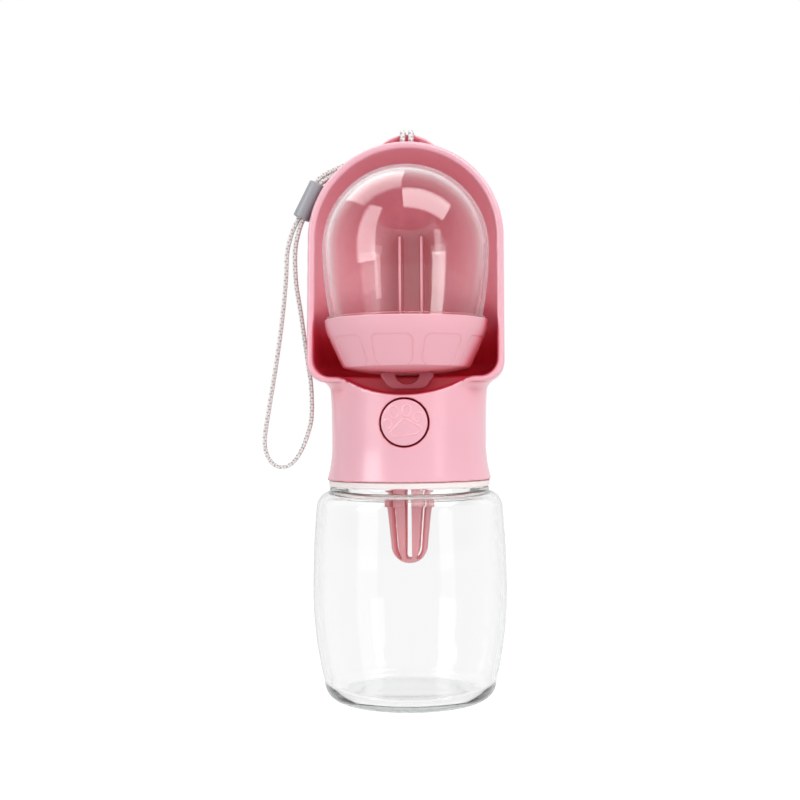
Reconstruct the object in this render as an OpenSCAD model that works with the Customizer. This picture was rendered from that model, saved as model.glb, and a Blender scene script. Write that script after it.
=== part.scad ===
// Travel water bottle for dogs: clear bottle, pink drinking head with a push-button valve,
// domed food cup with a soft lid, slotted filter cage and a braided wrist strap.
// Millimetres, +Z up, front towards -Y, origin at the centre of the bottle's base.

/* [Bottle] */
// Widest radius of the bottle
bottle_r = 36.5; // [34:0.5:42]
// Height of the bottle's shoulder step, which carries the collar ring
shoulder_z = 80.3; // [72:0.1:110]
// Height of the widest point
belly_z = 41; // [34:1:48]
// How far the side draws in from the widest point down to the base
base_draw = 6; // [2:0.1:7]
// How far the side draws in from the widest point up to the shoulder
shoulder_draw = 2.3; // [1:0.1:4]
// Radius of the rounded bottom edge
foot_corner = 7; // [3:0.1:9]
// Radius of the rounded shoulder
shoulder_corner = 6.5; // [5:0.1:7.5]
// Wall of the bottle
bottle_wall = 1.8; // [1.2:0.1:2.4]
// Thickness of the base
base_t = 3; // [2.4:0.1:6]
// Radius of the ring groove under the base
base_groove_r = 20.8; // [16:0.1:24]

/* [Neck and thread] */
// Outer radius of the bottle's neck
neck_r = 26; // [24:0.1:28]
// Wall of the bottle's neck
neck_wall = 2; // [1.6:0.1:2.6]
// Height of the neck above the shoulder step
neck_h = 9.3; // [8.6:0.1:12]
// Height of the thread's ridges
thread_h = 1.1; // [0.8:0.05:1.3]
// Rise of the thread in one turn
thread_lead = 3; // [2.8:0.1:3.4]
// Turns of each thread
thread_turns = 1.1; // [0.8:0.1:1.3]

/* [Collar and seals] */
// Height of the collar ring
collar_h = 2.2; // [1.6:0.1:3]
// Thickness of the gasket on the bottle's mouth
gasket_t = 1.8; // [1.2:0.1:2.4]
// Width of the gasket
gasket_w = 2.8; // [2:0.1:3.4]
// Side of the square section of the ring round the valve plate
plate_seal_s = 1.3; // [0.9:0.1:1.6]

/* [Head] */
// Wall round the neck thread at the waist
waist_wall = 1.6; // [1.4:0.1:2.6]
// How far the skirt flares out at its bottom edge
skirt_flare = 2; // [1:0.1:3]
// How far the neck widens again under the trough
throat_flare = 0.7; // [0.2:0.1:0.8]
// Thickness of the valve plate
plate_t = 2.5; // [2:0.1:3.5]
// Width of the ledge that the valve plate seats on
plate_ledge = 1.3; // [1:0.1:2]
// Height of the waist above the skirt's edge
waist_h = 15.3; // [12:0.1:18]

/* [Trough] */
// How far the trough's side stands in from the bottle's widest radius
trough_inset = 0.5; // [0:0.1:1.5]
// Wall of the trough
trough_wall = 2.7; // [2:0.1:3]
// Thickness of the trough's floor
floor_t = 2.2; // [2:0.1:3]
// Height of the straight sides above the floor, up to the arch's centre
side_h = 51.1; // [47:0.1:60]
// How far the front opening stands before the neck's axis, at the floor
rim_front = 22; // [19:0.1:24]
// Lean of the front opening, back from upright
rim_lean = 6.6; // [4:0.1:10]
// Radius of the outer bottom corners
trough_corner = 7.5; // [6.5:0.1:9]
// Depth of the lapping channel in the front of the floor
channel_depth = 6.8; // [5.6:0.1:7.2]
// Half width of the lapping channel
channel_half_w = 23.3; // [20:0.1:25]
// Radius of the water outlet in the floor
outlet_r = 3; // [2:0.1:3.5]
// Height of the two guide ribs on the back wall
rib_h = 57; // [30:1:60]
// Thickness of a guide rib
rib_t = 1.6; // [1.2:0.1:2.2]
// Half of the gap between the guide ribs
rib_half_gap = 3.6; // [3.2:0.1:5]

/* [Strap lug] */
// Radius of the lug's rounded tongue
lug_r = 15; // [12:0.5:18]
// Height of the lug's top above the top of the hood
lug_rise = 4.6; // [4:0.1:8]
// Depth of the lug, front to back
lug_depth = 5; // [4:0.1:6]
// Thickness of the bar over the hole
lug_bar = 2.7; // [2.4:0.1:3.4]
// Half width of the hole
lug_hole_half_w = 4.6; // [4.2:0.1:6.4]

/* [Button] */
// Radius of the button
button_r = 8.35; // [7.5:0.05:9]
// Ring gap round the button
button_gap = 0.5; // [0.3:0.05:0.7]
// How far the button stands proud of the neck
button_proud = 0.7; // [0.3:0.1:1.2]
// Travel of the button
button_travel = 4; // [3:0.1:4.2]
// Height of the paw relief
paw_relief = 0.25; // [0.15:0.05:0.4]
// Radius of the slider's rod
rod_r = 2.6; // [2:0.1:3]

/* [Valve] */
// Rise of the valve for each millimetre of button travel
valve_ratio = 0.75; // [0.6:0.05:0.8]
// Radius of the valve port
port_r = 4; // [3:0.1:4.4]
// Radius of the valve disc
disc_r = 6; // [5.6:0.1:7]
// Radius of the stem
stem_r = 3; // [2.6:0.1:3.2]
// Radius of the cross pin
pin_r = 1; // [0.8:0.05:1.2]
// Thickness of a spring's wire
spring_wire = 0.7; // [0.5:0.05:0.8]

/* [Filter cage] */
// Outer radius of the cage's collar
cage_r = 9.45; // [9:0.05:11]
// Outer radius of the slotted body under the collar
cage_body_r = 8.5; // [7.8:0.05:8.8]
// Radius of the rounded tip
cage_tip_r = 7; // [5.5:0.1:7.4]
// Height of the cage
cage_h = 40.2; // [34:0.1:46]
// Height of the collar
cage_collar_h = 18.2; // [16:0.1:20]
// Wall of the cage
cage_wall = 1.45; // [1.2:0.05:1.6]
// Number of slots
slot_count = 8; // [6:1:10]
// Width of a slot
slot_w = 2.4; // [1.6:0.1:2.6]

/* [Food cup and lid] */
// Largest outer radius of the cup
cup_r = 30.6; // [29:0.1:31]
// Outer radius of the cup's mouth
mouth_r = 27.8; // [26.5:0.1:28.5]
// Wall of the cup
cup_wall = 1.6; // [1.2:0.1:2]
// Height from the mouth's bead to the dome's centre
cup_side_h = 26.4; // [22:0.1:27]
// Height of the cup's skirt inside the lid
cup_skirt_h = 3.8; // [3.4:0.1:4.4]
// How far the cup's axis stands before the neck's axis
cup_front = 13; // [12:0.1:14]
// Height of the lid
lid_h = 20.4; // [19:0.1:22]
// Radius of the lid's lower corner
lid_low_r = 23.5; // [21:0.1:24.5]
// How fast the lid's side widens above its lower corner
lid_slope = 0.48; // [0.3:0.01:0.6]
// How far the lid's bottom bulges below its corner
lid_bulge = 3; // [2:0.1:4]
// Wall of the lid's side at its lip
lid_lip_wall = 2.2; // [1.8:0.1:2.6]
// Wall of the lid's bowl
lid_wall = 1.8; // [1.4:0.1:2]
// Number of pads marked round the lid
pad_count = 9; // [7:1:9]
// Width of a pad, in degrees
pad_deg = 31; // [24:1:34]
// Turn of the pads from the pull tab, in degrees
pad_turn = -12.5; // [-20:0.5:20]
// Depth of the step round a pad
pad_depth = 0.3; // [0.15:0.05:0.4]
// Half width of the pull tab at the lid
tab_half_w = 9.9; // [8:0.1:11]
// Half width of the pull tab at its end
tab_end_half_w = 6.3; // [5:0.1:7]
// How far the pull tab hangs below the lid
tab_drop = 5.3; // [4.4:0.1:5.6]
// Thickness of the pull tab
tab_t = 2; // [1.5:0.1:2.5]
// Radius of the finger hole in the tab
tab_hole_r = 4.45; // [3.4:0.05:4.6]
// Turn of the lid in the trough, in degrees
lid_turn = 5; // [-8:1:8]

/* [Strap] */
// Width of the flat cord
cord_w = 3.2; // [2.8:0.1:3.4]
// Thickness of the flat cord
cord_t = 1.6; // [1.2:0.1:1.6]
// Width of a strand where it is squeezed together round the lug
hitch_w = 2.2; // [1.8:0.1:2.6]
// Outer radius of the ferrule
ferrule_r = 3.25; // [3:0.05:3.6]
// Bore radius of the ferrule
ferrule_bore_r = 2.35; // [2.3:0.05:2.5]
// Length of the ferrule
ferrule_l = 14.5; // [12:0.1:16]

/* [Fits] */
// Radial clearance of the thread
thread_gap = 0.3; // [0.25:0.05:0.5]
// Gap between seals or faces that close on each other
seal_gap = 0.1; // [0.05:0.05:0.2]
// Radial clearance of a rod, stem or socket that slides
slide_gap = 0.05; // [0.03:0.01:0.08]
// Gap between pieces that rest on or pass each other
rest_gap = 0.3; // [0.2:0.05:0.4]

/* [Hidden] */
$fn = 96;
arc_steps = 10;
thread_steps = 36;
coil_steps = 16;

// Stack from the shoulder up
skirt_z = shoulder_z + collar_h + 2 * seal_gap;
mouth_z = shoulder_z + neck_h;
plate_z = mouth_z + seal_gap + gasket_t;
plate_top = plate_z + plate_t;
sleeve_wall = 1;
bore_r = button_r + button_gap;
sleeve_r = bore_r + sleeve_wall;
button_z = plate_top + rest_gap + sleeve_r;
bore_roof_t = 1.2;
channel_z = button_z + bore_r + bore_roof_t;
floor_z = channel_z + channel_depth;
roof_t = 2.5;
ceiling_z = floor_z - roof_t;
arch_z = floor_z + side_h;

// Neck of the bottle and of the head
thread_root = 0.5;
thread_base_w = 1.4;
thread_crest_w = 0.7;
skirt_edge_clear = 1.9;
thread_start_z = shoulder_z + collar_h + skirt_edge_clear;
skirt_bore_r = neck_r + thread_h + thread_gap;
waist_r = skirt_bore_r + waist_wall;
skirt_r = waist_r + skirt_flare;
step_inset = 1;
step_r = skirt_r - step_inset;
collar_inset = 0.7;
collar_r = skirt_r - collar_inset;
waist_z = skirt_z + waist_h;
throat_z = floor_z - 2;
throat_r = waist_r + throat_flare;
plate_r = neck_r - seal_gap;
plate_bore_r = neck_r;
plate_groove_depth = 1;
gasket_r = neck_r - 0.3;
chamber_r = plate_r - plate_ledge;
neck_bore_r = neck_r - neck_wall;

// Trough
trough_outer_r = bottle_r - trough_inset;
trough_r = trough_outer_r - trough_wall;
hood_proud = 0.3;
trough_y = throat_r + hood_proud - trough_outer_r;
channel_r = (channel_half_w * channel_half_w + channel_depth * channel_depth) / (2 * channel_depth);
channel_back_y = -16;
chamber_back_y = channel_back_y + roof_t;
outlet_y = 13;

// Button and slider
button_face_y = -(waist_r + button_proud);
cap_t = 2.2;
cap_back_y = button_face_y + cap_t;
cap_skirt_l = 3.2;
cap_wall = 1.2;
cap_socket_depth = 1.3;
button_spring_l = 9;
guide_y = cap_back_y + button_spring_l;
guide_t = 2;
pocket_t = 1.6;
guide_back_y = guide_y + guide_t + pocket_t;
rod_bore_r = rod_r + slide_gap;
button_seal_w = 1.7;
fork_front_y = guide_back_y + rest_gap;
fork_block_l = 6;
prong_in = stem_r + rest_gap;
prong_t = 2;
prong_out = prong_in + prong_t;
ramp_drop = 0.4;
ramp_z0 = button_z - ramp_drop;
ramp_run = button_travel + 1;
fork_top = ramp_z0 + valve_ratio * ramp_run;
fork_drop = 1.9;
fork_bottom = button_z - fork_drop;
prong_tip_y = 1.2;

// Valve
lift = button_travel * valve_ratio;
ramp_len = sqrt(1 + valve_ratio * valve_ratio);
pin_z = ramp_z0 + (pin_r + slide_gap) * ramp_len;
seat_h = 1;
seat_w = 1.2;
seat_z = plate_top + seat_h;
disc_z = seat_z + seal_gap;
disc_t = 2.2;
disc_skin = 0.8;
stud_r = 1.5;
pin_fit = 0.02;
stem_z = disc_z + disc_t;
fork_to_collar = 0.5;
stem_collar_z = fork_top + fork_to_collar;
stem_collar_t = 1;
post_r = 1.6;
post_over_gap = 0.6;
post_top = ceiling_z - lift - post_over_gap;
socket_r = 2.9;
socket_l = 6;
socket_z = ceiling_z - socket_l;
spring_in_gap = 0.3;
spring_r = socket_r + spring_in_gap + spring_wire / 2;
spring_seat_lip = 0.6;
stem_collar_r = spring_r + spring_wire / 2 + spring_seat_lip;

// Cage
spigot_l = 7.5;
spigot_wall = 1.5;
cage_bore_r = cage_r - cage_wall;
spigot_r = cage_bore_r - slide_gap;
cage_top = plate_z - rest_gap;
cage_bottom = cage_top - cage_h;
cage_step_z = cage_top - cage_collar_h;
cage_ring_h = 1.9;
cage_spine_r = 2.6;

// Cup and lid
cup_y = -cup_front;
lid_z = floor_z + rest_gap;
lid_top = lid_z + lid_h;
lip_r = mouth_r + slide_gap + lid_lip_wall;
bead_z = lid_top + seal_gap;
bead_t = 0.8;
bead_inset = 0.9;
bead_r = lip_r - bead_inset;
dome_z = bead_z + cup_side_h;
skirt_low_z = lid_top - cup_skirt_h;
lid_ledge_z = skirt_low_z - seal_gap;
lid_low_z = lid_z + lid_bulge;
tab_from_axis = 10;
tab_root = 1.1;
tab_shoulder = 0.6;
tab_bevel = 0.4;
hole_root = 0.3;
pad_low_margin = 1.6;
pad_high_margin = 6.8;

// Strap lug
lug_y = 1 - lug_depth / 2;
lug_z = arch_z + trough_outer_r + lug_rise;
lug_hole_h = 3.6;
hole_top_z = lug_z - lug_bar;
hole_bottom_z = hole_top_z - lug_hole_h;

// Strap: the ferrule's place, and the route of the cord from the lug's left strand,
// down the left side of the hand loop, and up again to the lug's right strand
ferrule_at = [-36.7, -4, 187.7];
ferrule_tilt = 26.85;
strand_x = 1.55;
strap_steps = 2;
strap_route = [
  [-1.55, 5.55, 211.4], [-1.9, 6.8, 211.6], [-3.8, 9.2, 211], [-6.4, 10.2, 210], [-9.5, 10, 208.6],
  [-16, 8, 206.2], [-22, 4.6, 203.4], [-27.4, 1, 200.2], [-31.4, -2.2, 197.6], [-34.2, -4, 194.6],
  [-37.5, -4, 188.1], [-40.7, -4, 181.6], [-43.4, -3.8, 176], [-45.4, -3.2, 168.5],
  [-46.2, -2.4, 157.2], [-48, -1.5, 141.7], [-50.4, -0.6, 126.2], [-53.2, 0.4, 110.7],
  [-55.1, 1, 99.2], [-54.7, 1.2, 93], [-52.2, 1.2, 88.8], [-48.4, 1, 87.4], [-44.4, 0.8, 89.2],
  [-41, 0.6, 94], [-38.4, 0.2, 100.5], [-37, 0, 107], [-37.2, 0.4, 118.4], [-38.8, 0.6, 130],
  [-40.8, 0, 145.5], [-42.4, -1.2, 157.2], [-42.5, -2.6, 168.5], [-41.1, -3.7, 175.6],
  [-39.2, -4, 180.8], [-36, -4, 187.3], [-32.7, -4, 193.8], [-29.9, -2.4, 196.2],
  [-26.1, 0.7, 198.8], [-21, 4.1, 201.9], [-15.3, 7.4, 204.6], [-9.1, 9.6, 206.9],
  [-4.2, 10.9, 208.4], [-0.4, 9.9, 210], [1.5, 7.2, 211.4], [1.55, 5.55, 211.4]
];

// ---- shared shapes ----

// Points of an arc round (x, y), from one angle to another
function arc(x, y, r, from, to, steps = arc_steps) =
  [for (i = [0:steps]) let (a = from + (to - from) * i / steps) [x + r * cos(a), y + r * sin(a)]];

// Ring with a rectangular section
module ring(r_out, r_in, h) {
  difference() {
    cylinder(r = r_out, h = h);
    translate([0, 0, -1]) cylinder(r = r_in, h = h + 2);
  }
}

// One section of a thread's ridge, at the angle a and the height z
function thread_section(a, z, r_in, w_in, r_out, w_out) =
  [for (p = [[r_in, -w_in / 2], [r_out, -w_out / 2], [r_out, w_out / 2], [r_in, w_in / 2]])
    [p[0] * cos(a), p[0] * sin(a), z + p[1]]];

// Skin of a swept section of k points at n + 1 places, closed at both ends
function sweep_faces(n, k) = concat(
  [for (j = [1:k - 2]) [0, j + 1, j]],
  [for (i = [0:n - 1], j = [0:k - 1], t = [0, 1])
    let (a = k * i + j, b = k * i + (j + 1) % k)
    t == 0 ? [a, b, b + k] : [a, b + k, a + k]],
  [for (j = [1:k - 2]) [k * n, k * n + j, k * n + j + 1]]
);

// Helical ridge, from the height z up
module thread_ridge(z, from, r_in, w_in, r_out, w_out) {
  n = ceil(thread_turns * thread_steps);
  polyhedron(
    points = [for (i = [0:n]) let (turn = thread_turns * i / n)
      each thread_section(from + 360 * turn, z + thread_lead * turn, r_in, w_in, r_out, w_out)],
    faces = sweep_faces(n, 4));
}

// Coil spring along +Z from z = 0
module coil(r, wire, h, turns) {
  n = round(turns * coil_steps);
  rise = h - wire;
  tilt = atan(rise / turns / (2 * PI * r));
  polyhedron(
    points = [for (i = [0:n]) let (a = 360 * turns * i / n, z = wire / 2 + rise * i / n)
      for (j = [0:5]) let (u = wire / 2 * cos(60 * j), v = wire / 2 * sin(60 * j))
        [(r + u) * cos(a) + v * sin(tilt) * sin(a),
          (r + u) * sin(a) - v * sin(tilt) * cos(a),
          z + v * cos(tilt)]],
    faces = sweep_faces(n, 6));
}

// ---- bottle ----

shoulder_drop = 1.6;
side_top_z = shoulder_z - shoulder_drop - shoulder_corner;
// Radius of the bottle's side at the height z
function side_r(z) = z < belly_z
  ? bottle_r - base_draw * pow((belly_z - z) / belly_z, 2)
  : bottle_r - shoulder_draw * pow((z - belly_z) / (shoulder_z - belly_z), 2);
function side_points(from, to, inset, steps) =
  [for (i = [0:steps]) let (z = from + (to - from) * i / steps) [side_r(z) - inset, z]];

module bottle() {
  foot_z = foot_corner;
  foot_x = side_r(foot_z) - foot_corner;
  top_x = side_r(side_top_z) - shoulder_corner;
  shoulder_stop = acos(min(1, (step_r - top_x) / shoulder_corner));
  in_corner = shoulder_corner - bottle_wall;
  in_foot = foot_corner - bottle_wall;
  in_foot_z = base_t + in_foot;
  groove_half_w = 0.6;
  groove_depth = 0.5;
  outline = concat(
    [[0, 0]],
    arc(foot_x, foot_z, foot_corner, -90, -4, 8),
    side_points(foot_z, side_top_z, 0, 18),
    arc(top_x, side_top_z, shoulder_corner, 4, shoulder_stop, 8),
    [[step_r, shoulder_z], [neck_r, shoulder_z], [neck_r, mouth_z], [neck_bore_r, mouth_z]],
    [[neck_bore_r, side_top_z + in_corner]],
    arc(top_x, side_top_z, in_corner, 90, 4, 6),
    side_points(side_top_z, in_foot_z, bottle_wall, 14),
    arc(side_r(in_foot_z) - bottle_wall - in_foot, in_foot_z, in_foot, -6, -90, 6),
    [[0, base_t]]);
  color("#eef4f4", 0.35) {
    difference() {
      rotate_extrude() polygon(outline);
      translate([0, 0, -1])
        ring(base_groove_r + groove_half_w, base_groove_r - groove_half_w, 1 + groove_depth);
    }
    thread_ridge(thread_start_z, -90, neck_r - thread_root, thread_base_w, neck_r + thread_h, thread_crest_w);
  }
}

module collar_ring() {
  color("#efd9db")
    translate([0, 0, shoulder_z + seal_gap]) ring(collar_r, neck_r + seal_gap, collar_h);
}

// ---- head ----

// Front view of the trough: arch, straight sides and rounded bottom corners
module trough_outline(r, bottom_z, corner) {
  translate([0, arch_z]) circle(r = r);
  translate([-r, bottom_z + corner]) square([2 * r, arch_z - bottom_z - corner]);
  translate([-(r - corner), bottom_z]) square([2 * (r - corner), corner]);
  for (side = [-1, 1]) translate([side * (r - corner), bottom_z + corner]) circle(r = corner);
}

// Scoop: the outline turned round the back and run straight to the front
module scoop(r, bottom_z, corner, front_l) {
  translate([0, trough_y, 0]) {
    rotate_extrude(angle = 180) intersection() {
      trough_outline(r, bottom_z, corner);
      translate([0, bottom_z - 1]) square([r + 1, arch_z + r]);
    }
    rotate([90, 0, 0]) linear_extrude(front_l) trough_outline(r, bottom_z, corner);
  }
}

// Radius of the head's neck at the height z
function neck_side_r(z) = z < waist_z
  ? waist_r + skirt_flare * pow((waist_z - z) / (waist_z - skirt_z), 2.4)
  : waist_r + throat_flare * pow(min(1, (z - waist_z) / (throat_z - waist_z)), 3);

module head_neck() {
  top_z = floor_z + 8;
  rotate_extrude() polygon(concat(
    [[0, skirt_z]],
    [for (i = [0:14]) let (z = skirt_z + (throat_z - skirt_z) * i / 14) [neck_side_r(z), z]],
    [[throat_r, top_z], [0, top_z]]));
}

// Everything before the leaning front opening, above the floor
module front_space(low_z) {
  translate([0, -rim_front, floor_z]) rotate([-rim_lean, 0, 0])
    translate([-60, -60, low_z - floor_z]) cube([120, 60, 140]);
}

// Rounded tongue behind the hood's rim, with a slot for the cord
module lug() {
  translate([0, lug_y + lug_depth, 0]) rotate([90, 0, 0]) linear_extrude(lug_depth) difference() {
    translate([0, lug_z - lug_r]) circle(r = lug_r);
    translate([-lug_hole_half_w, hole_bottom_z])
      square([2 * lug_hole_half_w, lug_hole_h]);
  }
}

// Tube along Y, from the front y to the back y, at the button's height
module along_y(r, from, to) {
  translate([0, to, button_z]) rotate([90, 0, 0]) cylinder(r = r, h = to - from);
}

module head_space() {
  // Trough, its front opening and the lapping channel
  scoop(trough_r, floor_z, trough_corner - 1.2, 60);
  intersection() {
    translate([0, 0, channel_z + channel_r]) rotate([90, 0, 0]) cylinder(r = channel_r, h = 60);
    translate([-channel_half_w - 1, -60, channel_z - 1])
      cube([2 * channel_half_w + 2, 60 + channel_back_y, channel_depth + 2]);
  }
  // Skirt bore, plate bore and valve chamber
  translate([0, 0, skirt_z - 1]) cylinder(r = skirt_bore_r, h = plate_z - skirt_z + 1);
  translate([0, 0, plate_z - 1]) cylinder(r = plate_bore_r, h = plate_t + 1);
}

module chamber() {
  difference() {
    translate([0, 0, plate_top - 1]) cylinder(r = chamber_r, h = ceiling_z - plate_top + 1);
    translate([-30, -30, channel_z - roof_t]) cube([60, 30 + chamber_back_y, 30]);
    along_y(sleeve_r, -waist_r, guide_back_y);
    translate([0, 0, socket_z]) cylinder(r = socket_r, h = 20);
  }
}

module cup_ribs() {
  for (side = [-1, 1])
    translate([side * (rib_half_gap + rib_t / 2) - rib_t / 2, cup_y + cup_r + rest_gap, floor_z - 1])
      cube([rib_t, trough_r + 1.5 + trough_y - cup_y - cup_r - rest_gap, rib_h + 1]);
}

module head_shell() {
  color("#f2a9b8") {
    difference() {
      union() {
        difference() {
          scoop(trough_outer_r, floor_z - floor_t, trough_corner, rim_front + 12);
          front_space(floor_z - 20);
        }
        head_neck();
        lug();
      }
      head_space();
      chamber();
      along_y(bore_r, -60, guide_y);
      along_y(rod_bore_r, guide_y - 1, guide_back_y + 1);
      along_y(rod_bore_r + button_seal_w, guide_y + guide_t, guide_back_y + 1);
      translate([0, 0, socket_z - 1]) cylinder(r = post_r + slide_gap, h = socket_l + post_over_gap);
      translate([0, outlet_y, ceiling_z - 1]) cylinder(r = outlet_r, h = 10);
    }
    cup_ribs();
    thread_ridge(thread_start_z + thread_lead / 2, -90, skirt_bore_r - thread_h, thread_crest_w,
      skirt_bore_r + thread_root, thread_base_w);
  }
}

// ---- valve plate and its seals ----

module valve_plate() {
  groove_z = plate_z + (plate_t - plate_seal_s) / 2;
  color("#f6e9e6") difference() {
    union() {
      translate([0, 0, plate_z]) cylinder(r = plate_r, h = plate_t);
      translate([0, 0, plate_top]) cylinder(r = port_r + seat_w, h = seat_h);
      translate([0, 0, plate_z - spigot_l]) cylinder(r = spigot_r, h = spigot_l);
    }
    translate([0, 0, plate_z - 1]) cylinder(r = port_r, h = plate_t + seat_h + 2);
    translate([0, 0, plate_z - spigot_l - 1]) cylinder(r = spigot_r - spigot_wall, h = spigot_l + 1);
    translate([0, 0, groove_z]) ring(plate_r + 1, plate_r - plate_groove_depth, plate_seal_s);
  }
}

module plate_seal() {
  color("#d8d8d8") translate([0, 0, plate_z + (plate_t - plate_seal_s) / 2])
    ring(plate_bore_r - slide_gap, plate_r - plate_groove_depth + slide_gap, plate_seal_s);
}

module mouth_gasket() {
  color("#e8e8e6") translate([0, 0, plate_z - gasket_t])
    ring(gasket_r, gasket_r - gasket_w, gasket_t);
}

// ---- button ----

// Round toe of the paw
module toe(x, z, r) {
  translate([x, z]) circle(r = r);
}

module paw_outline() {
  toe(-5.5, -0.6, 1.3);
  toe(-3.6, 3.5, 1.9);
  toe(1, 4.3, 1.8);
  toe(4.9, 1.6, 1.5);
  polygon(concat(
    arc(0.2, 0, 1.5, 40, 140, 6),
    arc(-2.6, -4.2, 1.6, 150, 270, 6),
    arc(4.2, -3.2, 1.6, 280, 400, 6)));
}

module button_cap() {
  color("#f4afbd") difference() {
    union() {
      intersection() {
        along_y(button_r, button_face_y - 3, cap_back_y + cap_skirt_l);
        translate([0, 0, button_z - 20]) cylinder(r = -button_face_y, h = 40);
      }
      intersection() {
        translate([0, cap_back_y - 1, button_z]) rotate([90, 0, 0]) linear_extrude(10) paw_outline();
        translate([0, 0, button_z - 20]) cylinder(r = paw_relief - button_face_y, h = 40);
      }
    }
    along_y(button_r - cap_wall, cap_back_y, cap_back_y + cap_skirt_l + 1);
    along_y(rod_bore_r, cap_back_y - cap_socket_depth, cap_back_y + 1);
  }
}

module button_slider() {
  color("#f6e9e6") {
    along_y(rod_r, cap_back_y - cap_socket_depth + slide_gap, fork_front_y + 1);
    difference() {
      translate([-prong_out, fork_front_y, fork_bottom])
        cube([2 * prong_out, prong_tip_y - fork_front_y, fork_top - fork_bottom]);
      translate([-prong_in, fork_front_y + fork_block_l, fork_bottom - 1])
        cube([2 * prong_in, 30, fork_top - fork_bottom + 2]);
      // The two ramps under the valve's cross pin
      translate([-prong_out - 1, 0, 0]) rotate([90, 0, 90]) linear_extrude(2 * prong_out + 2) polygon([
        [-ramp_run, fork_top], [5, ramp_z0 - 5 * valve_ratio], [5, fork_top + 1], [-ramp_run, fork_top + 1]]);
    }
  }
}

module button_spring() {
  color("#c9ccd0") translate([0, guide_y - seal_gap, button_z]) rotate([90, 0, 0])
    coil(rod_r + 0.9 + spring_wire / 2, spring_wire, guide_y - cap_back_y - 2 * seal_gap, 4);
}

module button_seal() {
  color("#d8d8d8") translate([0, guide_back_y, button_z]) rotate([90, 0, 0])
    ring(rod_r + button_seal_w, rod_bore_r, pocket_t - seal_gap);
}

// ---- valve ----

module valve_stem() {
  color("#f6e9e6") difference() {
    union() {
      translate([0, 0, stem_z]) cylinder(r = stem_r, h = stem_collar_z - stem_z + 0.5);
      translate([0, 0, stem_collar_z]) cylinder(r = stem_collar_r, h = stem_collar_t);
      translate([0, 0, stem_collar_z]) cylinder(r = post_r, h = post_top - stem_collar_z);
      translate([0, 0, disc_z + disc_skin]) cylinder(r = stud_r, h = disc_t);
    }
    translate([-10, 0, pin_z]) rotate([0, 90, 0]) cylinder(r = pin_r + pin_fit, h = 20);
  }
}

module valve_pin() {
  color("#b9bdc2") translate([-prong_out, 0, pin_z]) rotate([0, 90, 0]) cylinder(r = pin_r, h = 2 * prong_out);
}

module valve_disc() {
  color("#dcdcda") difference() {
    translate([0, 0, disc_z]) cylinder(r = disc_r, h = disc_t);
    translate([0, 0, disc_z + disc_skin - slide_gap]) cylinder(r = stud_r + slide_gap, h = disc_t);
  }
}

module valve_spring() {
  low = stem_collar_z + stem_collar_t + seal_gap;
  color("#c9ccd0") translate([0, 0, low]) coil(spring_r, spring_wire, ceiling_z - seal_gap - low, 5);
}

// ---- filter cage ----

module filter_cage() {
  tip_z = cage_bottom + cage_tip_r;
  in_tip = cage_tip_r - cage_wall;
  slot_low = cage_bottom + cage_ring_h + slot_w / 2;
  slot_high = plate_z - spigot_l - slot_w;
  color("#f08ea0") difference() {
    rotate_extrude() polygon(concat(
      arc(0, tip_z, cage_tip_r, -90, 0, 10),
      [[cage_body_r, cage_step_z], [cage_r, cage_step_z], [cage_r, cage_top], [cage_bore_r, cage_top]],
      [[cage_bore_r, cage_step_z + cage_wall], [cage_body_r - cage_wall, cage_step_z]],
      arc(0, tip_z, in_tip, 0, -90, 8)));
    for (i = [0:slot_count - 1]) rotate([0, 0, -90 + 360 * i / slot_count]) {
      translate([cage_spine_r, -slot_w / 2, slot_low]) cube([cage_r, slot_w, slot_high - slot_low]);
      for (z = [slot_low, slot_high])
        translate([cage_spine_r, 0, z]) rotate([0, 90, 0]) cylinder(r = slot_w / 2, h = cage_r);
    }
  }
}

// ---- food cup and lid ----

// Outer radius of the cup at the height z, up to the dome's centre
function cup_side_r(z) = cup_r - (cup_r - mouth_r) * pow((dome_z - z) / cup_side_h, 2);

module food_cup() {
  color("#f3f6f8", 0.35) translate([0, cup_y, 0]) rotate_extrude() polygon(concat(
    [[mouth_r, skirt_low_z], [mouth_r, bead_z], [bead_r, bead_z], [bead_r, bead_z + bead_t]],
    [for (i = [0:10]) let (z = bead_z + bead_t + (cup_side_h - bead_t) * i / 10) [cup_side_r(z), z]],
    arc(0, dome_z, cup_r, 6, 90, 14),
    arc(0, dome_z, cup_r - cup_wall, 90, 0, 14),
    [for (i = [9:-1:0]) let (z = bead_z + cup_side_h * i / 10) [cup_side_r(z) - cup_wall, z]],
    [[mouth_r - cup_wall, skirt_low_z]]));
}

// Outer radius of the lid at the height z: a cone from its lower corner, blended into a steep lip
lid_blend = 1.2;
function lid_cone_r(z) = lid_low_r + 0.1 + lid_slope * (z - lid_low_z);
function lid_band_r(z) = lip_r + 0.2 - 0.05 * (lid_top - z);
function lid_side_r(z) = let (a = lid_cone_r(z), b = lid_band_r(z))
  (a + b - sqrt((a - b) * (a - b) + lid_blend * lid_blend)) / 2;

module lid_pads() {
  low = lid_low_z + pad_low_margin;
  high = lid_top - pad_high_margin;
  for (i = [0:pad_count - 1]) rotate([0, 0, pad_turn - 90 + 360 * i / pad_count - pad_deg / 2])
    rotate_extrude(angle = pad_deg) polygon(concat(
      [for (k = [0:4]) let (z = low + (high - low) * k / 4) [lid_side_r(z) - pad_depth, z]],
      [[lip_r + 2, high], [lip_r + 2, low]]));
}

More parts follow.
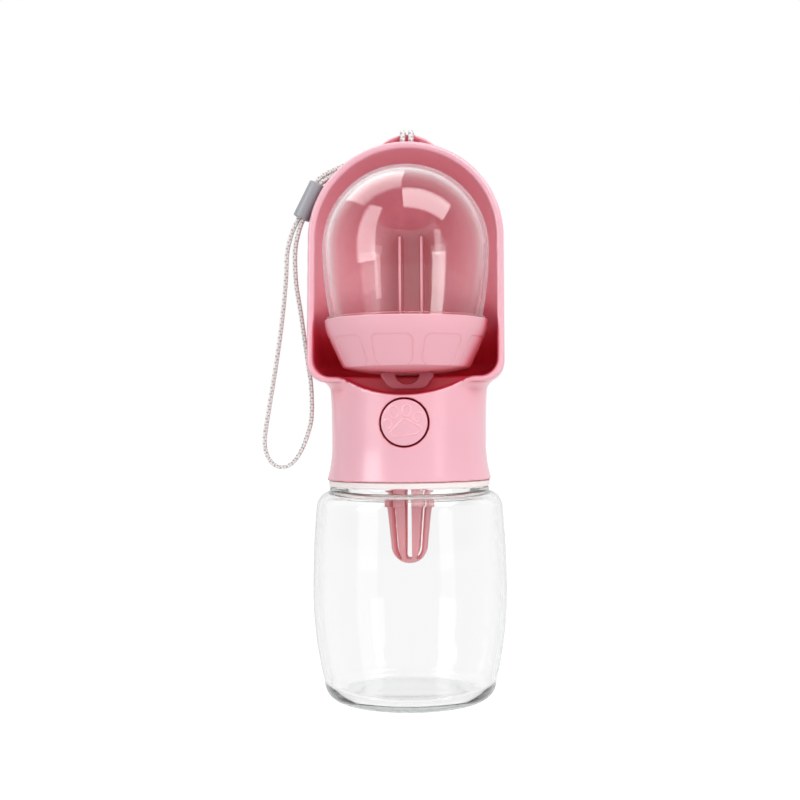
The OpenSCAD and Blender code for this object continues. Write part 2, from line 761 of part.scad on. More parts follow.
module cup_lid() {
  bulge_r = (lid_low_r * lid_low_r + lid_bulge * lid_bulge) / (2 * lid_bulge);
  bulge_deg = asin(lid_low_r / bulge_r);
  in_low_z = lid_low_z + lid_wall;
  ledge_r = lid_side_r(lid_ledge_z) - lid_wall;
  color("#f0adb9") translate([0, cup_y, 0]) rotate([0, 0, lid_turn]) {
    difference() {
      rotate_extrude() polygon(concat(
        arc(0, lid_z + bulge_r, bulge_r, -90, -90 + bulge_deg, 8),
        [for (k = [1:10]) let (z = lid_low_z + (lid_top - lid_low_z) * k / 10) [lid_side_r(z), z]],
        [[mouth_r + slide_gap, lid_top], [mouth_r + slide_gap, lid_ledge_z]],
        [[min(ledge_r, mouth_r - cup_wall), lid_ledge_z]],
        [for (k = [6:-1:1]) let (z = in_low_z + (lid_ledge_z - in_low_z) * k / 7)
          [lid_side_r(z) - lid_wall - 0.4, z]],
        [[lid_low_r - 2, in_low_z], [0, lid_z + lid_wall + 0.8]]));
      lid_pads();
    }
    // Pull tab, a plate under the lid's front with a finger hole
    translate([0, -tab_from_axis, 0]) rotate([90, 0, 0]) linear_extrude(tab_t) difference() {
      polygon([
        [-tab_half_w, lid_z + tab_root], [-tab_half_w + tab_bevel, lid_z - tab_shoulder],
        [-tab_end_half_w, lid_z - tab_drop], [tab_end_half_w, lid_z - tab_drop],
        [tab_half_w - tab_bevel, lid_z - tab_shoulder], [tab_half_w, lid_z + tab_root]]);
      intersection() {
        translate([0, lid_z + tab_root]) circle(r = tab_hole_r);
        translate([-tab_half_w, lid_z - tab_drop]) square([2 * tab_half_w, tab_drop + hole_root]);
      }
    }
  }
}

// ---- strap ----

// Cord's wrap round the lug's bar, two turns side by side
module strap_hitch() {
  inner = [lug_depth + 2 * slide_gap, lug_bar + 2 * slide_gap];
  outer = inner + [2 * cord_t, 2 * cord_t];
  color("#c9c7c5") for (x = [-strand_x, strand_x])
    translate([x - hitch_w / 2, lug_y + lug_depth / 2, lug_z - lug_bar / 2]) rotate([90, 0, 90])
      linear_extrude(hitch_w) difference() {
        union() {
          square([outer[0] - 2, outer[1]], center = true);
          square([outer[0], outer[1] - 2], center = true);
          for (u = [-1, 1], v = [-1, 1])
            translate([u * (outer[0] / 2 - 1), v * (outer[1] / 2 - 1)]) circle(r = 1);
        }
        square(inner, center = true);
      }
}

module strap_ferrule() {
  color("#9b9da3") translate(ferrule_at) rotate([0, ferrule_tilt, 0])
    translate([0, 0, -ferrule_l / 2]) ring(ferrule_r, ferrule_bore_r, ferrule_l);
}

// Smooth curve through the route's points
function spline(p, i, t) =
  let (n = len(p) - 1, a = p[max(0, i - 1)], b = p[i], c = p[min(n, i + 1)], d = p[min(n, i + 2)])
  0.5 * (2 * b + (c - a) * t + (2 * a - 5 * b + 4 * c - d) * t * t + (3 * b - a - 3 * c + d) * t * t * t);
function unit(v) = v / norm(v);

// The cord's flat side faces the hood above the ferrule, and sideways in the hand loop
function cord_wide(p, t, down) =
  let (over = min(1, max(0, (p[2] - ferrule_at[2] - 4) / 6)),
    hood = cross(p - [0, trough_y, arch_z], down * t),
    w = over * unit(hood) + (1 - over) * [0, -1, 0])
  unit(w - (w * t) * t);

module strap_cord() {
  n = (len(strap_route) - 1) * strap_steps;
  line = [for (i = [0:n]) let (k = min(len(strap_route) - 2, floor(i / strap_steps)))
    spline(strap_route, k, i / strap_steps - k)];
  color("#c9c7c5") polyhedron(
    points = [for (i = [0:n])
      let (t = unit(line[min(n, i + 1)] - line[max(0, i - 1)]),
        w = cord_wide(line[i], t, i < n / 2 ? 1 : -1),
        h = cross(w, t))
      for (j = [0:7]) line[i] + w * (cord_w / 2 * cos(45 * j)) + h * (cord_t / 2 * sin(45 * j))],
    faces = sweep_faces(n, 8));
}

bottle();
collar_ring();
head_shell();
valve_plate();
plate_seal();
mouth_gasket();
button_cap();
button_slider();
button_spring();
button_seal();
valve_stem();
valve_pin();
valve_disc();
valve_spring();
filter_cage();
food_cup();
cup_lid();
strap_hitch();
strap_ferrule();
strap_cord();
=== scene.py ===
"""Travel water bottle for dogs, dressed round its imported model: metres, +Z up, front towards -Y.

The file follows the object as it is put together: camera, strap, drinking head, button, valve,
filter cage, bottle, food cup and lid, then the studio. Sizes are millimetres times mm.
"""
import math

import bmesh
import bpy
import numpy as np
from mathutils import Matrix, Vector


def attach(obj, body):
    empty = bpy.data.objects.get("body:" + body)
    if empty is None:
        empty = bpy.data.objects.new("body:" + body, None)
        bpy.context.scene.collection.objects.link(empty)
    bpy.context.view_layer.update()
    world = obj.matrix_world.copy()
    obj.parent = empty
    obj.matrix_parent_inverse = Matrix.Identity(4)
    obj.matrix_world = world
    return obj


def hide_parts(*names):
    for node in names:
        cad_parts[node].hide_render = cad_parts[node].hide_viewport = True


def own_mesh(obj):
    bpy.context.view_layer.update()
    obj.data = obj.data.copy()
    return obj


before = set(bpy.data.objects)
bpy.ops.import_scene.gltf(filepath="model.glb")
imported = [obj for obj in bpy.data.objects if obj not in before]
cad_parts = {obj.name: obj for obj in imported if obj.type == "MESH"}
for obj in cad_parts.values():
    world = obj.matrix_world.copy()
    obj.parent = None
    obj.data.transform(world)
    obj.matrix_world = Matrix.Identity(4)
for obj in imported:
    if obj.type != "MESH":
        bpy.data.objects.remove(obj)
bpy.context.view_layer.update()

# ---- camera ----
# A level camera half a metre away, a little to the object's right, with a slight roll.
# The frame takes in 302 mm at the bottle's axis, and the axis stands right of its middle.
mm = 0.001
camera_distance = 500 * mm
camera_height = 104 * mm
camera_yaw = math.radians(3.5)
camera_roll = math.radians(-0.4)
frame_width = 302.4 * mm
frame_centre_z = 112.6 * mm
axis_right_of_centre = 3.4 * mm
lens = bpy.data.cameras.new("camera")
lens.sensor_width = 36
lens.lens = lens.sensor_width * camera_distance / frame_width
lens.shift_x = -axis_right_of_centre / frame_width
lens.shift_y = (frame_centre_z - camera_height) / frame_width
lens.clip_start = 0.01
camera = bpy.data.objects.new("camera", lens)
turned = Matrix.Rotation(camera_yaw, 4, "Z") @ Matrix.Rotation(math.pi / 2, 4, "X")
away = (camera_distance * math.sin(camera_yaw), -camera_distance * math.cos(camera_yaw), camera_height)
camera.matrix_world = Matrix.Translation(away) @ turned @ Matrix.Rotation(camera_roll, 4, "Z")
bpy.context.scene.collection.objects.link(camera)
bpy.context.scene.camera = camera
bpy.context.scene.view_settings.view_transform = "Standard"

# ---- strap cord ----
# A flat tubular braid of twelve polyester yarns, white with three grey ones, round a thin core.
# It leaves the lug behind the hood, runs through the ferrule, and hangs as a hand loop.
cord_width = 3.2 * mm
cord_thickness = 1.6 * mm
yarn_width = 1.08 * mm
yarn_thickness = 0.46 * mm
yarns_each_way = 6
braid_pitch = 7.2 * mm
yarn_step = 0.25 * mm
ferrule_centre = mm * np.array([-36.7, -4, 187.7])
arch_centre = mm * np.array([0, -6, 172.1])
strap_route = mm * np.array([
    [-1.55, 5.55, 211.4], [-1.9, 6.8, 211.6], [-3.8, 9.2, 211], [-6.4, 10.2, 210], [-9.5, 10, 208.6],
    [-16, 8, 206.2], [-22, 4.6, 203.4], [-27.4, 1, 200.2], [-31.4, -2.2, 197.6], [-34.2, -4, 194.6],
    [-37.5, -4, 188.1], [-40.7, -4, 181.6], [-43.4, -3.8, 176], [-45.4, -3.2, 168.5],
    [-46.2, -2.4, 157.2], [-48, -1.5, 141.7], [-50.4, -0.6, 126.2], [-53.2, 0.4, 110.7],
    [-55.1, 1, 99.2], [-54.7, 1.2, 93], [-52.2, 1.2, 88.8], [-48.4, 1, 87.4], [-44.4, 0.8, 89.2],
    [-41, 0.6, 94], [-38.4, 0.2, 100.5], [-37, 0, 107], [-37.2, 0.4, 118.4], [-38.8, 0.6, 130],
    [-40.8, 0, 145.5], [-42.4, -1.2, 157.2], [-42.5, -2.6, 168.5], [-41.1, -3.7, 175.6],
    [-39.2, -4, 180.8], [-36, -4, 187.3], [-32.7, -4, 193.8], [-29.9, -2.4, 196.2],
    [-26.1, 0.7, 198.8], [-21, 4.1, 201.9], [-15.3, 7.4, 204.6], [-9.1, 9.6, 206.9],
    [-4.2, 10.9, 208.4], [-0.4, 9.9, 210], [1.5, 7.2, 211.4], [1.55, 5.55, 211.4],
])


def linear(colour):
    """An sRGB hex colour as linear light: each channel c becomes ((c + 0.055) / 1.055) ** 2.4."""
    channels = np.array([int(colour[i:i + 2], 16) for i in (1, 3, 5)]) / 255
    light = np.where(channels <= 0.04045, channels / 12.92, ((channels + 0.055) / 1.055) ** 2.4)
    return (*light.tolist(), 1.0)


def add(tree, kind, inputs=None, **settings):
    """Adds a node. A socket given as an input is linked, a node by its first output, and any other
    value is set."""
    made = tree.nodes.new(kind)
    for name, value in settings.items():
        setattr(made, name, value)
    for name, value in (inputs or {}).items():
        if isinstance(value, bpy.types.Node):
            value = value.outputs[0]
        if isinstance(value, bpy.types.NodeSocket):
            tree.links.new(value, made.inputs[name])
        else:
            made.inputs[name].default_value = value
    return made


def new_material(name):
    """An empty material, its node tree and the place on the piece."""
    material = bpy.data.materials.new(name)
    material.use_nodes = True
    tree = material.node_tree
    tree.nodes.clear()
    return material, tree, add(tree, "ShaderNodeTexCoord").outputs["Object"]


def braid_yarn(name, colour, shade):
    """Spun polyester yarn: fine twisted filaments give a soft sheen and a slightly mottled colour."""
    material, tree, place = new_material(name)
    filament = add(tree, "ShaderNodeTexNoise", {"Vector": place, "Scale": 1 / (0.3846 * mm), "Detail": 2.0})
    tone = add(tree, "ShaderNodeMix", {
        "Factor": filament, "A": linear(shade), "B": linear(colour)}, data_type="RGBA")
    bump = add(tree, "ShaderNodeBump", {"Height": filament, "Strength": 0.35, "Distance": 0.1 * mm})
    shader = add(tree, "ShaderNodeBsdfPrincipled", {
        "Base Color": tone.outputs["Result"], "Normal": bump,
        "Roughness": 0.62, "Sheen Weight": 0.25, "Sheen Roughness": 0.5})
    add(tree, "ShaderNodeOutputMaterial", {"Surface": shader})
    return material


def equal_steps(line, step):
    """The line's points at equal steps of its length, and their places along it."""
    along = np.concatenate([[0], np.cumsum(np.linalg.norm(np.diff(line, axis=0), axis=1))])
    places = np.linspace(0, along[-1], int(along[-1] / step) + 1)
    return np.stack([np.interp(places, along, line[:, k]) for k in range(3)], axis=1), places


def smooth_curve(route, step):
    """A curve through the route's points, cubic between each two from them and their neighbours:
    half of 2b + (c - a)t + (2a - 5b + 4c - d)t^2 + (3b - a - 3c + d)t^3. It has equal steps of length."""
    t = np.linspace(0, 1, 24, endpoint=False)[None, :, None]
    ends = np.vstack([route[:1], route, route[-1:]])
    a, b, c, d = (ends[i:len(ends) - 3 + i][:, None, :] for i in range(4))
    squared = (2 * a - 5 * b + 4 * c - d) * t ** 2
    cubed = (3 * b - a - 3 * c + d) * t ** 3
    line = 0.5 * (2 * b + (c - a) * t + squared + cubed)
    return equal_steps(np.vstack([line.reshape(-1, 3), route[-1:]]), step)


def unit(v):
    """Vectors divided by their own lengths."""
    return v / np.maximum(np.linalg.norm(v, axis=-1, keepdims=True), 1e-12)


def oval(u, half_width, half_height):
    """A point on a flat oval with round ends, at the share u of its girth, and the way out there."""
    flat = half_width - half_height
    girth = 4 * flat + 2 * math.pi * half_height
    s = np.mod(u, 1) * girth
    top, end = 2 * flat, math.pi * half_height
    turn = np.where(s < top, 0, np.where(s < top + end, (s - top) / half_height,
        np.where(s < 2 * top + end, math.pi, math.pi + (s - 2 * top - end) / half_height)))
    middle = np.where(s < top, flat - s, np.where(s < top + end, -flat,
        np.where(s < 2 * top + end, -flat + (s - top - end), flat)))
    out = np.stack([-np.sin(turn), np.cos(turn)], axis=-1)
    return np.stack([middle, np.zeros_like(middle)], axis=-1) + half_height * out, out


def tube_faces(rings, sides):
    """Quads of a tube of rings of vertices, and the two flat ends."""
    i, j = np.meshgrid(np.arange(rings - 1), np.arange(sides), indexing="ij")
    a, b = sides * i + j, sides * i + (j + 1) % sides
    walls = np.stack([a, b, b + sides, a + sides], axis=-1).reshape(-1, 4)
    return walls, [list(range(sides))[::-1], list(range(sides * (rings - 1), sides * rings))]


def new_piece(name, points, faces, material):
    """An object at the origin, with its place in its mesh."""
    mesh = bpy.data.meshes.new(name)
    mesh.from_pydata(np.asarray(points).reshape(-1, 3).tolist(), [], [list(map(int, f)) for f in faces])
    mesh.polygons.foreach_set("use_smooth", [True] * len(mesh.polygons))
    mesh.materials.append(material)
    piece = bpy.data.objects.new(name, mesh)
    bpy.context.scene.collection.objects.link(piece)
    return piece


def braid(name, line, along, wide, width=cord_width):
    """A flat tubular braid along a line. A yarn of one family winds at u = k/n + s/pitch, one of the
    other at u = (k + 1/2)/n - s/pitch, and each dips under and over the other at every crossing."""
    tangent = unit(np.gradient(line, axis=0))
    across = unit(wide - (wide * tangent).sum(1)[:, None] * tangent)
    flat_out = np.cross(across, tangent)
    inset = 0.42 * mm
    lift = 0.18 * mm
    half_width, half_height = width / 2 - inset, cord_thickness / 2 - inset
    corners = np.array([[1, 0], [0, 1], [-1, 0], [0, -1]]) * [yarn_width / 2, yarn_thickness / 2]
    points, faces, kinds = [], [], []

    def add_tube(centre, outline, sideways, upward, kind):
        """A tube along the centre line, with the outline laid sideways and upwards at each point."""
        ring = centre[:, None] + outline[None, :, :1] * sideways[:, None]
        ring = ring + outline[None, :, 1:] * upward[:, None]
        start = sum(len(part) for part in points)
        walls, caps = tube_faces(len(centre), len(outline))
        points.append(ring.reshape(-1, 3))
        faces.extend([list(f) for f in (walls + start)] + [[v + start for v in cap] for cap in caps])
        kinds.extend([kind] * (len(walls) + 2))

    for way in (1, -1):
        for k in range(yarns_each_way):
            phase = 0.0 if way == 1 else 0.5
            u = (k + phase) / yarns_each_way + way * along / braid_pitch
            crossing = yarns_each_way * (u + way * along / braid_pitch) - phase + k
            rise = way * lift * np.cos(math.pi * crossing)
            place, out = oval(u, half_width, half_height)
            place = place + rise[:, None] * out
            centre = line + place[:, :1] * across + place[:, 1:] * flat_out
            outward = out[:, :1] * across + out[:, 1:] * flat_out
            ahead = unit(np.gradient(centre, axis=0))
            side = unit(np.cross(outward, ahead))
            add_tube(centre, corners, side, np.cross(ahead, side), 1 if way == -1 and k % 2 else 0)
    core, _ = oval(np.arange(8) / 8, half_width - 0.1 * mm, half_height - 0.1 * mm)
    add_tube(line[::4], core, across[::4], flat_out[::4], 0)
    piece = new_piece(name, np.vstack(points), faces, yarns[0])
    piece.data.materials.append(yarns[1])
    piece.data.polygons.foreach_set("material_index", kinds)
    outward_normals(piece)
    return piece


def outward_normals(piece):
    """Turns every closed shell of the mesh outwards."""
    work = bmesh.new()
    work.from_mesh(piece.data)
    bmesh.ops.recalc_face_normals(work, faces=work.faces)
    work.to_mesh(piece.data)
    work.free()


yarns = [
    braid_yarn("white polyester yarn", "#f9f7f5", "#e7e4e1"),
    braid_yarn("grey polyester yarn", "#c0bdb9", "#a5a19d"),
]
strap_line, strap_along = smooth_curve(strap_route, yarn_step)
going = np.gradient(strap_line, axis=0) * np.where(strap_along < strap_along[-1] / 2, 1, -1)[:, None]
over_hood = np.clip((strap_line[:, 2:] - ferrule_centre[2] - 4 * mm) / (6 * mm), 0, 1)
hood_wide = unit(np.cross(strap_line - arch_centre, going))
strap_wide = over_hood * hood_wide + (1 - over_hood) * np.array([0.0, -1.0, 0.0])
strap = braid("strap", strap_line, strap_along, strap_wide)
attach(strap, "head_body")
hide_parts("strap_cord")

# ---- strap hitch ----
# The same braid's wrap round the bar of the lug, two strands side by side.
# Each strand closes on itself behind the bar, where the cord's two ends join it.
bar_centre = mm * np.array([0, 1, 211.35])
bar_half = mm * np.array([2.5, 1.35])
wrap_gap = 0.05 * mm
strand_x = 1.55 * mm
strand_width = 2.2 * mm


def wrap_line(x, step):
    """A rounded rectangle round the bar, half a cord's thickness off it, in the plane of one x."""
    reach = wrap_gap + cord_thickness / 2
    corner = 1.4 * mm
    half = bar_half + reach - corner
    a = np.radians(10 * np.arange(9) + 90 * np.arange(4)[:, None]).ravel()
    quarters = np.repeat([[1, 1], [-1, 1], [-1, -1], [1, -1]], 9, axis=0)
    ring = half * quarters + corner * np.column_stack([np.cos(a), np.sin(a)])
    ring = np.vstack([ring, ring[:1]])
    line = bar_centre + np.column_stack([np.full(len(ring), x), ring[:, 0], ring[:, 1]])
    return equal_steps(line, step)


wraps = []
for side in (-1, 1):
    wrap, wrap_along = wrap_line(side * strand_x, yarn_step)
    wraps.append(braid(f"hitch_{'left' if side < 0 else 'right'}", wrap, wrap_along,
        np.tile([1.0, 0.0, 0.0], (len(wrap), 1)), width=strand_width))
for wrap in wraps:
    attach(wrap, "head_body")
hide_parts("strap_hitch")

# ---- strap ferrule ----
# A short grey moulded tube that gathers the two strands, with softened ends.
# Its satin surface came off a spark-eroded mould.
ferrule_tilt = math.radians(26.85)
ferrule_radius = 3.25 * mm
ferrule_bore = 2.35 * mm
ferrule_length = 14.5 * mm


def rounded(corners, steps=5):
    """A profile through corners (r, z, fillet), with each fillet as an arc tangent to its two sides."""
    corners = np.array(corners, float)
    out = [corners[0, :2]]
    for before, here, after in zip(corners[:-2], corners[1:-1], corners[2:]):
        b = here[:2]
        u, v = before[:2] - b, after[:2] - b
        lu, lv = np.linalg.norm(u), np.linalg.norm(v)
        u, v = u / lu, v / lv
        angle = math.acos(np.clip(u @ v, -1, 1))
        if here[2] <= 0 or angle > math.pi - 1e-3:
            out.append(b)
            continue
        cut = min(here[2] / math.tan(angle / 2), 0.49 * lu, 0.49 * lv)
        radius = cut * math.tan(angle / 2)
        centre = b + unit(u + v) * radius / math.sin(angle / 2)
        p, q = b + u * cut - centre, b + v * cut - centre
        sweep = math.atan2(p[0] * q[1] - p[1] * q[0], p @ q)
        for t in np.linspace(0, sweep, steps + 1):
            c, s = math.cos(t), math.sin(t)
            out.append(centre + np.array([c * p[0] - s * p[1], s * p[0] + c * p[1]]))
    out.append(corners[-1, :2])
    return np.array(out)


def even(profile, step):
    """The profile with points added so that no stretch is longer than step."""
    parts = []
    for a, b in zip(profile[:-1], profile[1:]):
        n = max(1, int(math.ceil(np.linalg.norm(b - a) / step)))
        parts.append(a + (b - a) * np.arange(n)[:, None] / n)
    return np.vstack(parts + [profile[-1:]])


def lathe(profile, count, centre=(0.0, 0.0), push=None):
    """The profile (r, z) turned round a vertical axis: (r cos a, r sin a, z). push(a, r, z) adds to r."""
    a = 2 * math.pi * np.arange(count)[:, None] / count
    r, z = profile[None, :, 0] + 0 * a, profile[None, :, 1] + 0 * a
    if push is not None:
        r = r + push(a + 0 * r, r, z)
    return np.stack([centre[0] + r * np.cos(a), centre[1] + r * np.sin(a), z], axis=-1)


def turned_piece(name, grid, material, closed=False):
    """The grid (angle, profile) as a closed skin. The profile runs outwards and up the outside, so that
    faces point outwards. It closes on itself, or ends on the axis, where its points are merged."""
    count, rows = grid.shape[:2]
    i, j = np.meshgrid(np.arange(count), np.arange(rows if closed else rows - 1), indexing="ij")
    i2, j2 = (i + 1) % count, (j + 1) % rows
    faces = np.stack([i * rows + j, i2 * rows + j, i2 * rows + j2, i * rows + j2], axis=-1).reshape(-1, 4)
    piece = new_piece(name, grid, faces, material)
    work = bmesh.new()
    work.from_mesh(piece.data)
    bmesh.ops.remove_doubles(work, verts=work.verts, dist=1e-7)
    work.to_mesh(piece.data)
    work.free()
    return piece


def painted_shade_by_openness(tree, distance, painted_shade_tones):
    """Painted shade: colour by how open the surface is to its surroundings, from 0, shut in, to 1, free.
    Light that bounces between coloured walls keeps more of their colour, so hollows are painted deeper
    and redder than open faces."""
    open_share = add(tree, "ShaderNodeAmbientOcclusion", {"Distance": distance}, samples=16)
    ramp = add(tree, "ShaderNodeValToRGB", {"Fac": open_share.outputs["AO"]})
    stops = ramp.color_ramp.elements
    while len(stops) < len(painted_shade_tones):
        stops.new(0.5)
    for stop, (place, colour) in zip(stops, painted_shade_tones):
        stop.position, stop.color = place, linear(colour)
    return ramp


def grain_bump(tree, place, size, strength, depth, detail=2.0, rough=0.5):
    """Normals of a surface with grains of one size, raised by the strength times the depth."""
    grains = add(tree, "ShaderNodeTexNoise", {
        "Vector": place, "Scale": 1 / size, "Detail": detail, "Roughness": rough})
    return add(tree, "ShaderNodeBump", {"Height": grains, "Strength": strength, "Distance": depth})


def moulded_plastic(name, painted_shade_tones, roughness, grain_mm, grain=0.12, coat=0.0):
    """Injection-moulded ABS or acetal. The mould leaves a fine grain in the gloss. Its colour carries
    painted shade, deeper where the surface is shut in.
    """
    material, tree, place = new_material(name)
    broad = add(tree, "ShaderNodeTexNoise", {"Vector": place, "Scale": 1 / (16.67 * mm), "Detail": 2.0})
    rough = add(tree, "ShaderNodeMapRange", {
        "Value": broad, "To Min": 0.85 * roughness, "To Max": 1.15 * roughness})
    shader = add(tree, "ShaderNodeBsdfPrincipled", {
        "Base Color": painted_shade_by_openness(tree, 35 * mm, painted_shade_tones), "Roughness": rough,
        "Normal": grain_bump(tree, place, grain_mm * mm, grain, 0.05 * mm, 3.0, 0.55),
        "Coat Weight": coat, "Coat Roughness": 0.12})
    add(tree, "ShaderNodeOutputMaterial", {"Surface": shader})
    return material


half_l = ferrule_length / 2
ferrule_profile = rounded([
    (ferrule_bore, 0, 0), (ferrule_bore, -half_l, 0.25 * mm), (ferrule_radius, -half_l, 0.7 * mm),
    (ferrule_radius, half_l, 0.7 * mm), (ferrule_bore, half_l, 0.25 * mm), (ferrule_bore, 0, 0)])
tilt = np.array(Matrix.Rotation(ferrule_tilt, 3, "Y"))
ferrule_grid = lathe(ferrule_profile[:-1], 72) @ tilt.T + ferrule_centre
# Its grey is painted darker where the surface is shut in: painted shade.
ferrule = turned_piece("ferrule", ferrule_grid, moulded_plastic(
    "grey satin ABS", [(0.1, "#6d6f75"), (0.6, "#9c9ea4")], 0.42, 0.25), closed=True)
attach(ferrule, "head_body")
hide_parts("strap_ferrule")

# ---- drinking head ----
# One pink ABS moulding: a threaded skirt and waisted neck, a scoop-shaped trough with a rounded
# rim, a lapping channel in its floor, two guide ribs and the strap lug. Every edge is softened.
skirt_z, waist_z, plate_z, plate_top = 82.7, 98.0, 91.5, 94.0
least_fillet, more_fillet, fillet_end, fillet_run = 0.3, 2.3, 24, 14
skirt_bore, plate_bore, chamber_radius, bore_edge = 27.4, 26.0, 24.6, 0.45
waist_radius, skirt_flare, throat_flare = 29.0, 2.0, 0.7
floor_z, floor_thickness, ceiling_z, arch_z = 121.0, 2.2, 118.5, 172.1
trough_radius, trough_wall, trough_corner, trough_y = 33.3, 2.7, 7.5, -6.0
rim_front, rim_lean, rim_edge = 22.0, math.radians(6.6), 1.3
channel_z, channel_radius, channel_back = 114.2, 43.3, -16.0
button_z, button_bore, sleeve_radius = 104.15, 8.85, 9.85
guide_front, guide_back, rod_bore = -18.5, -14.9, 2.65
lug_y, lug_half_depth, lug_top, lug_radius = 1.0, 2.5, 212.7, 15.0
lug_hole_half_width, lug_hole_bottom, lug_hole_top = 4.6, 206.4, 210.0
rib_inner, rib_outer, rib_front, rib_top = 3.6, 5.2, 17.9, 178.0
outlet_y, outlet_radius = 13.0, 3.0


def cut(a, b, r):
    """The overlap of two solids given as distances, with an edge rounded to the radius r."""
    return np.minimum(-r, np.maximum(a, b)) + np.hypot(np.maximum(a + r, 0), np.maximum(b + r, 0))


def join(a, b, r):
    """The union of two solids given as distances, with a fillet of the radius r where they meet."""
    return -cut(-a, -b, r)


def rounded_box(u, v, half_u, half_v, radius):
    """Distance to a rectangle with round corners, centred on the origin."""
    p, q = np.abs(u) - half_u + radius, np.abs(v) - half_v + radius
    return np.minimum(np.maximum(p, q), 0) + np.hypot(np.maximum(p, 0), np.maximum(q, 0)) - radius


def arch(rho, z, radius, bottom, corner):
    """Distance to the trough's front view: a half circle over straight sides and rounded corners."""
    middle = (arch_z + radius + bottom) / 2
    half = (arch_z + radius - bottom) / 2
    return rounded_box(rho, z - middle, radius, half, np.where(z > middle, radius, corner))


def head_distance(x, y, z):
    """Distance to the head's surface in millimetres, negative inside the plastic."""
    rho = np.where(y > trough_y, np.hypot(x, y - trough_y), np.abs(x))
    before = (z - floor_z) * math.sin(rim_lean) - (y + rim_front) * math.cos(rim_lean)
    outside = arch(rho, z, trough_radius + trough_wall, floor_z - floor_thickness, trough_corner)
    hood = cut(outside, before, rim_edge)
    low = np.clip((waist_z - z) / (waist_z - skirt_z), 0, 1.2)
    high = np.clip((z - waist_z) / (floor_z - 2 - waist_z), 0, 1)
    radius = np.hypot(x, y)
    neck_side = 0.97 * (radius - waist_radius - skirt_flare * low ** 2.4 - throat_flare * high ** 3)
    neck = cut(neck_side, np.maximum(skirt_z - z, z - floor_z - 4), bore_edge)
    fillet = least_fillet + more_fillet * np.clip((fillet_end - y) / fillet_run, 0, 1)
    body = join(hood, neck, fillet)
    lug = cut(np.hypot(x, z - lug_top + lug_radius) - lug_radius, np.abs(y - lug_y) - lug_half_depth, 0.8)
    hole_half = (lug_hole_top - lug_hole_bottom) / 2
    hole = rounded_box(x, z - lug_hole_bottom - hole_half, lug_hole_half_width, hole_half, 1.2)
    body = join(body, cut(lug, -hole, 0.6), 0.4)
    cavity = arch(rho, z, trough_radius, floor_z, trough_corner - 1.2)
    body = cut(body, -cavity, rim_edge - 0.05)
    channel = cut(np.hypot(x, z - channel_z - channel_radius) - channel_radius, y - channel_back, 1.0)
    body = cut(body, -np.maximum(channel, z - floor_z - 2), 1.0)
    across_rib = np.abs(np.abs(x) - (rib_inner + rib_outer) / 2) - (rib_outer - rib_inner) / 2
    rib = np.maximum(across_rib, rib_front - y)
    rib = np.maximum(np.maximum(rib, cavity - 1), np.maximum(z - rib_top, floor_z - 1 - z))
    body = join(body, rib, 0.5)
    skirt_space = np.maximum(radius - skirt_bore, z - plate_z)
    plate_space = np.maximum(radius - plate_bore, z - plate_top)
    chamber = np.maximum(radius - chamber_radius, z - ceiling_z)
    chamber = np.maximum(chamber, -np.maximum(channel_z - 2.5 - z, y - channel_back - 2.5))
    along_button = np.hypot(x, z - button_z)
    chamber = np.maximum(chamber, -np.maximum(along_button - sleeve_radius, y - guide_back))
    body = cut(body, -np.minimum(np.minimum(skirt_space, plate_space), chamber), 0.3)
    bore = np.maximum(along_button - button_bore, y - guide_front)
    body = cut(body, -bore, bore_edge)
    body = np.maximum(body, -np.maximum(along_button - rod_bore, y))
    outlet = np.maximum(np.hypot(x, y - outlet_y) - outlet_radius, ceiling_z - 3 - z)
    return cut(body, -np.maximum(outlet, z - floor_z - 5), 0.4)


def stretch(low, high, coarse, fine_from=0.0, fine_to=0.0, fine=1.0):
    """Grid lines from low to high, at the coarse step, with the fine step between two places."""
    if fine_to <= fine_from:
        return np.linspace(low, high, int(round((high - low) / coarse)) + 1)
    before = np.linspace(low, fine_from, max(2, int(round((fine_from - low) / coarse)) + 1))[:-1]
    within = np.linspace(fine_from, fine_to, int(round((fine_to - fine_from) / fine)) + 1)
    after = np.linspace(fine_to, high, max(2, int(round((high - fine_to) / coarse)) + 1))[1:]
    return np.concatenate([before, within, after])


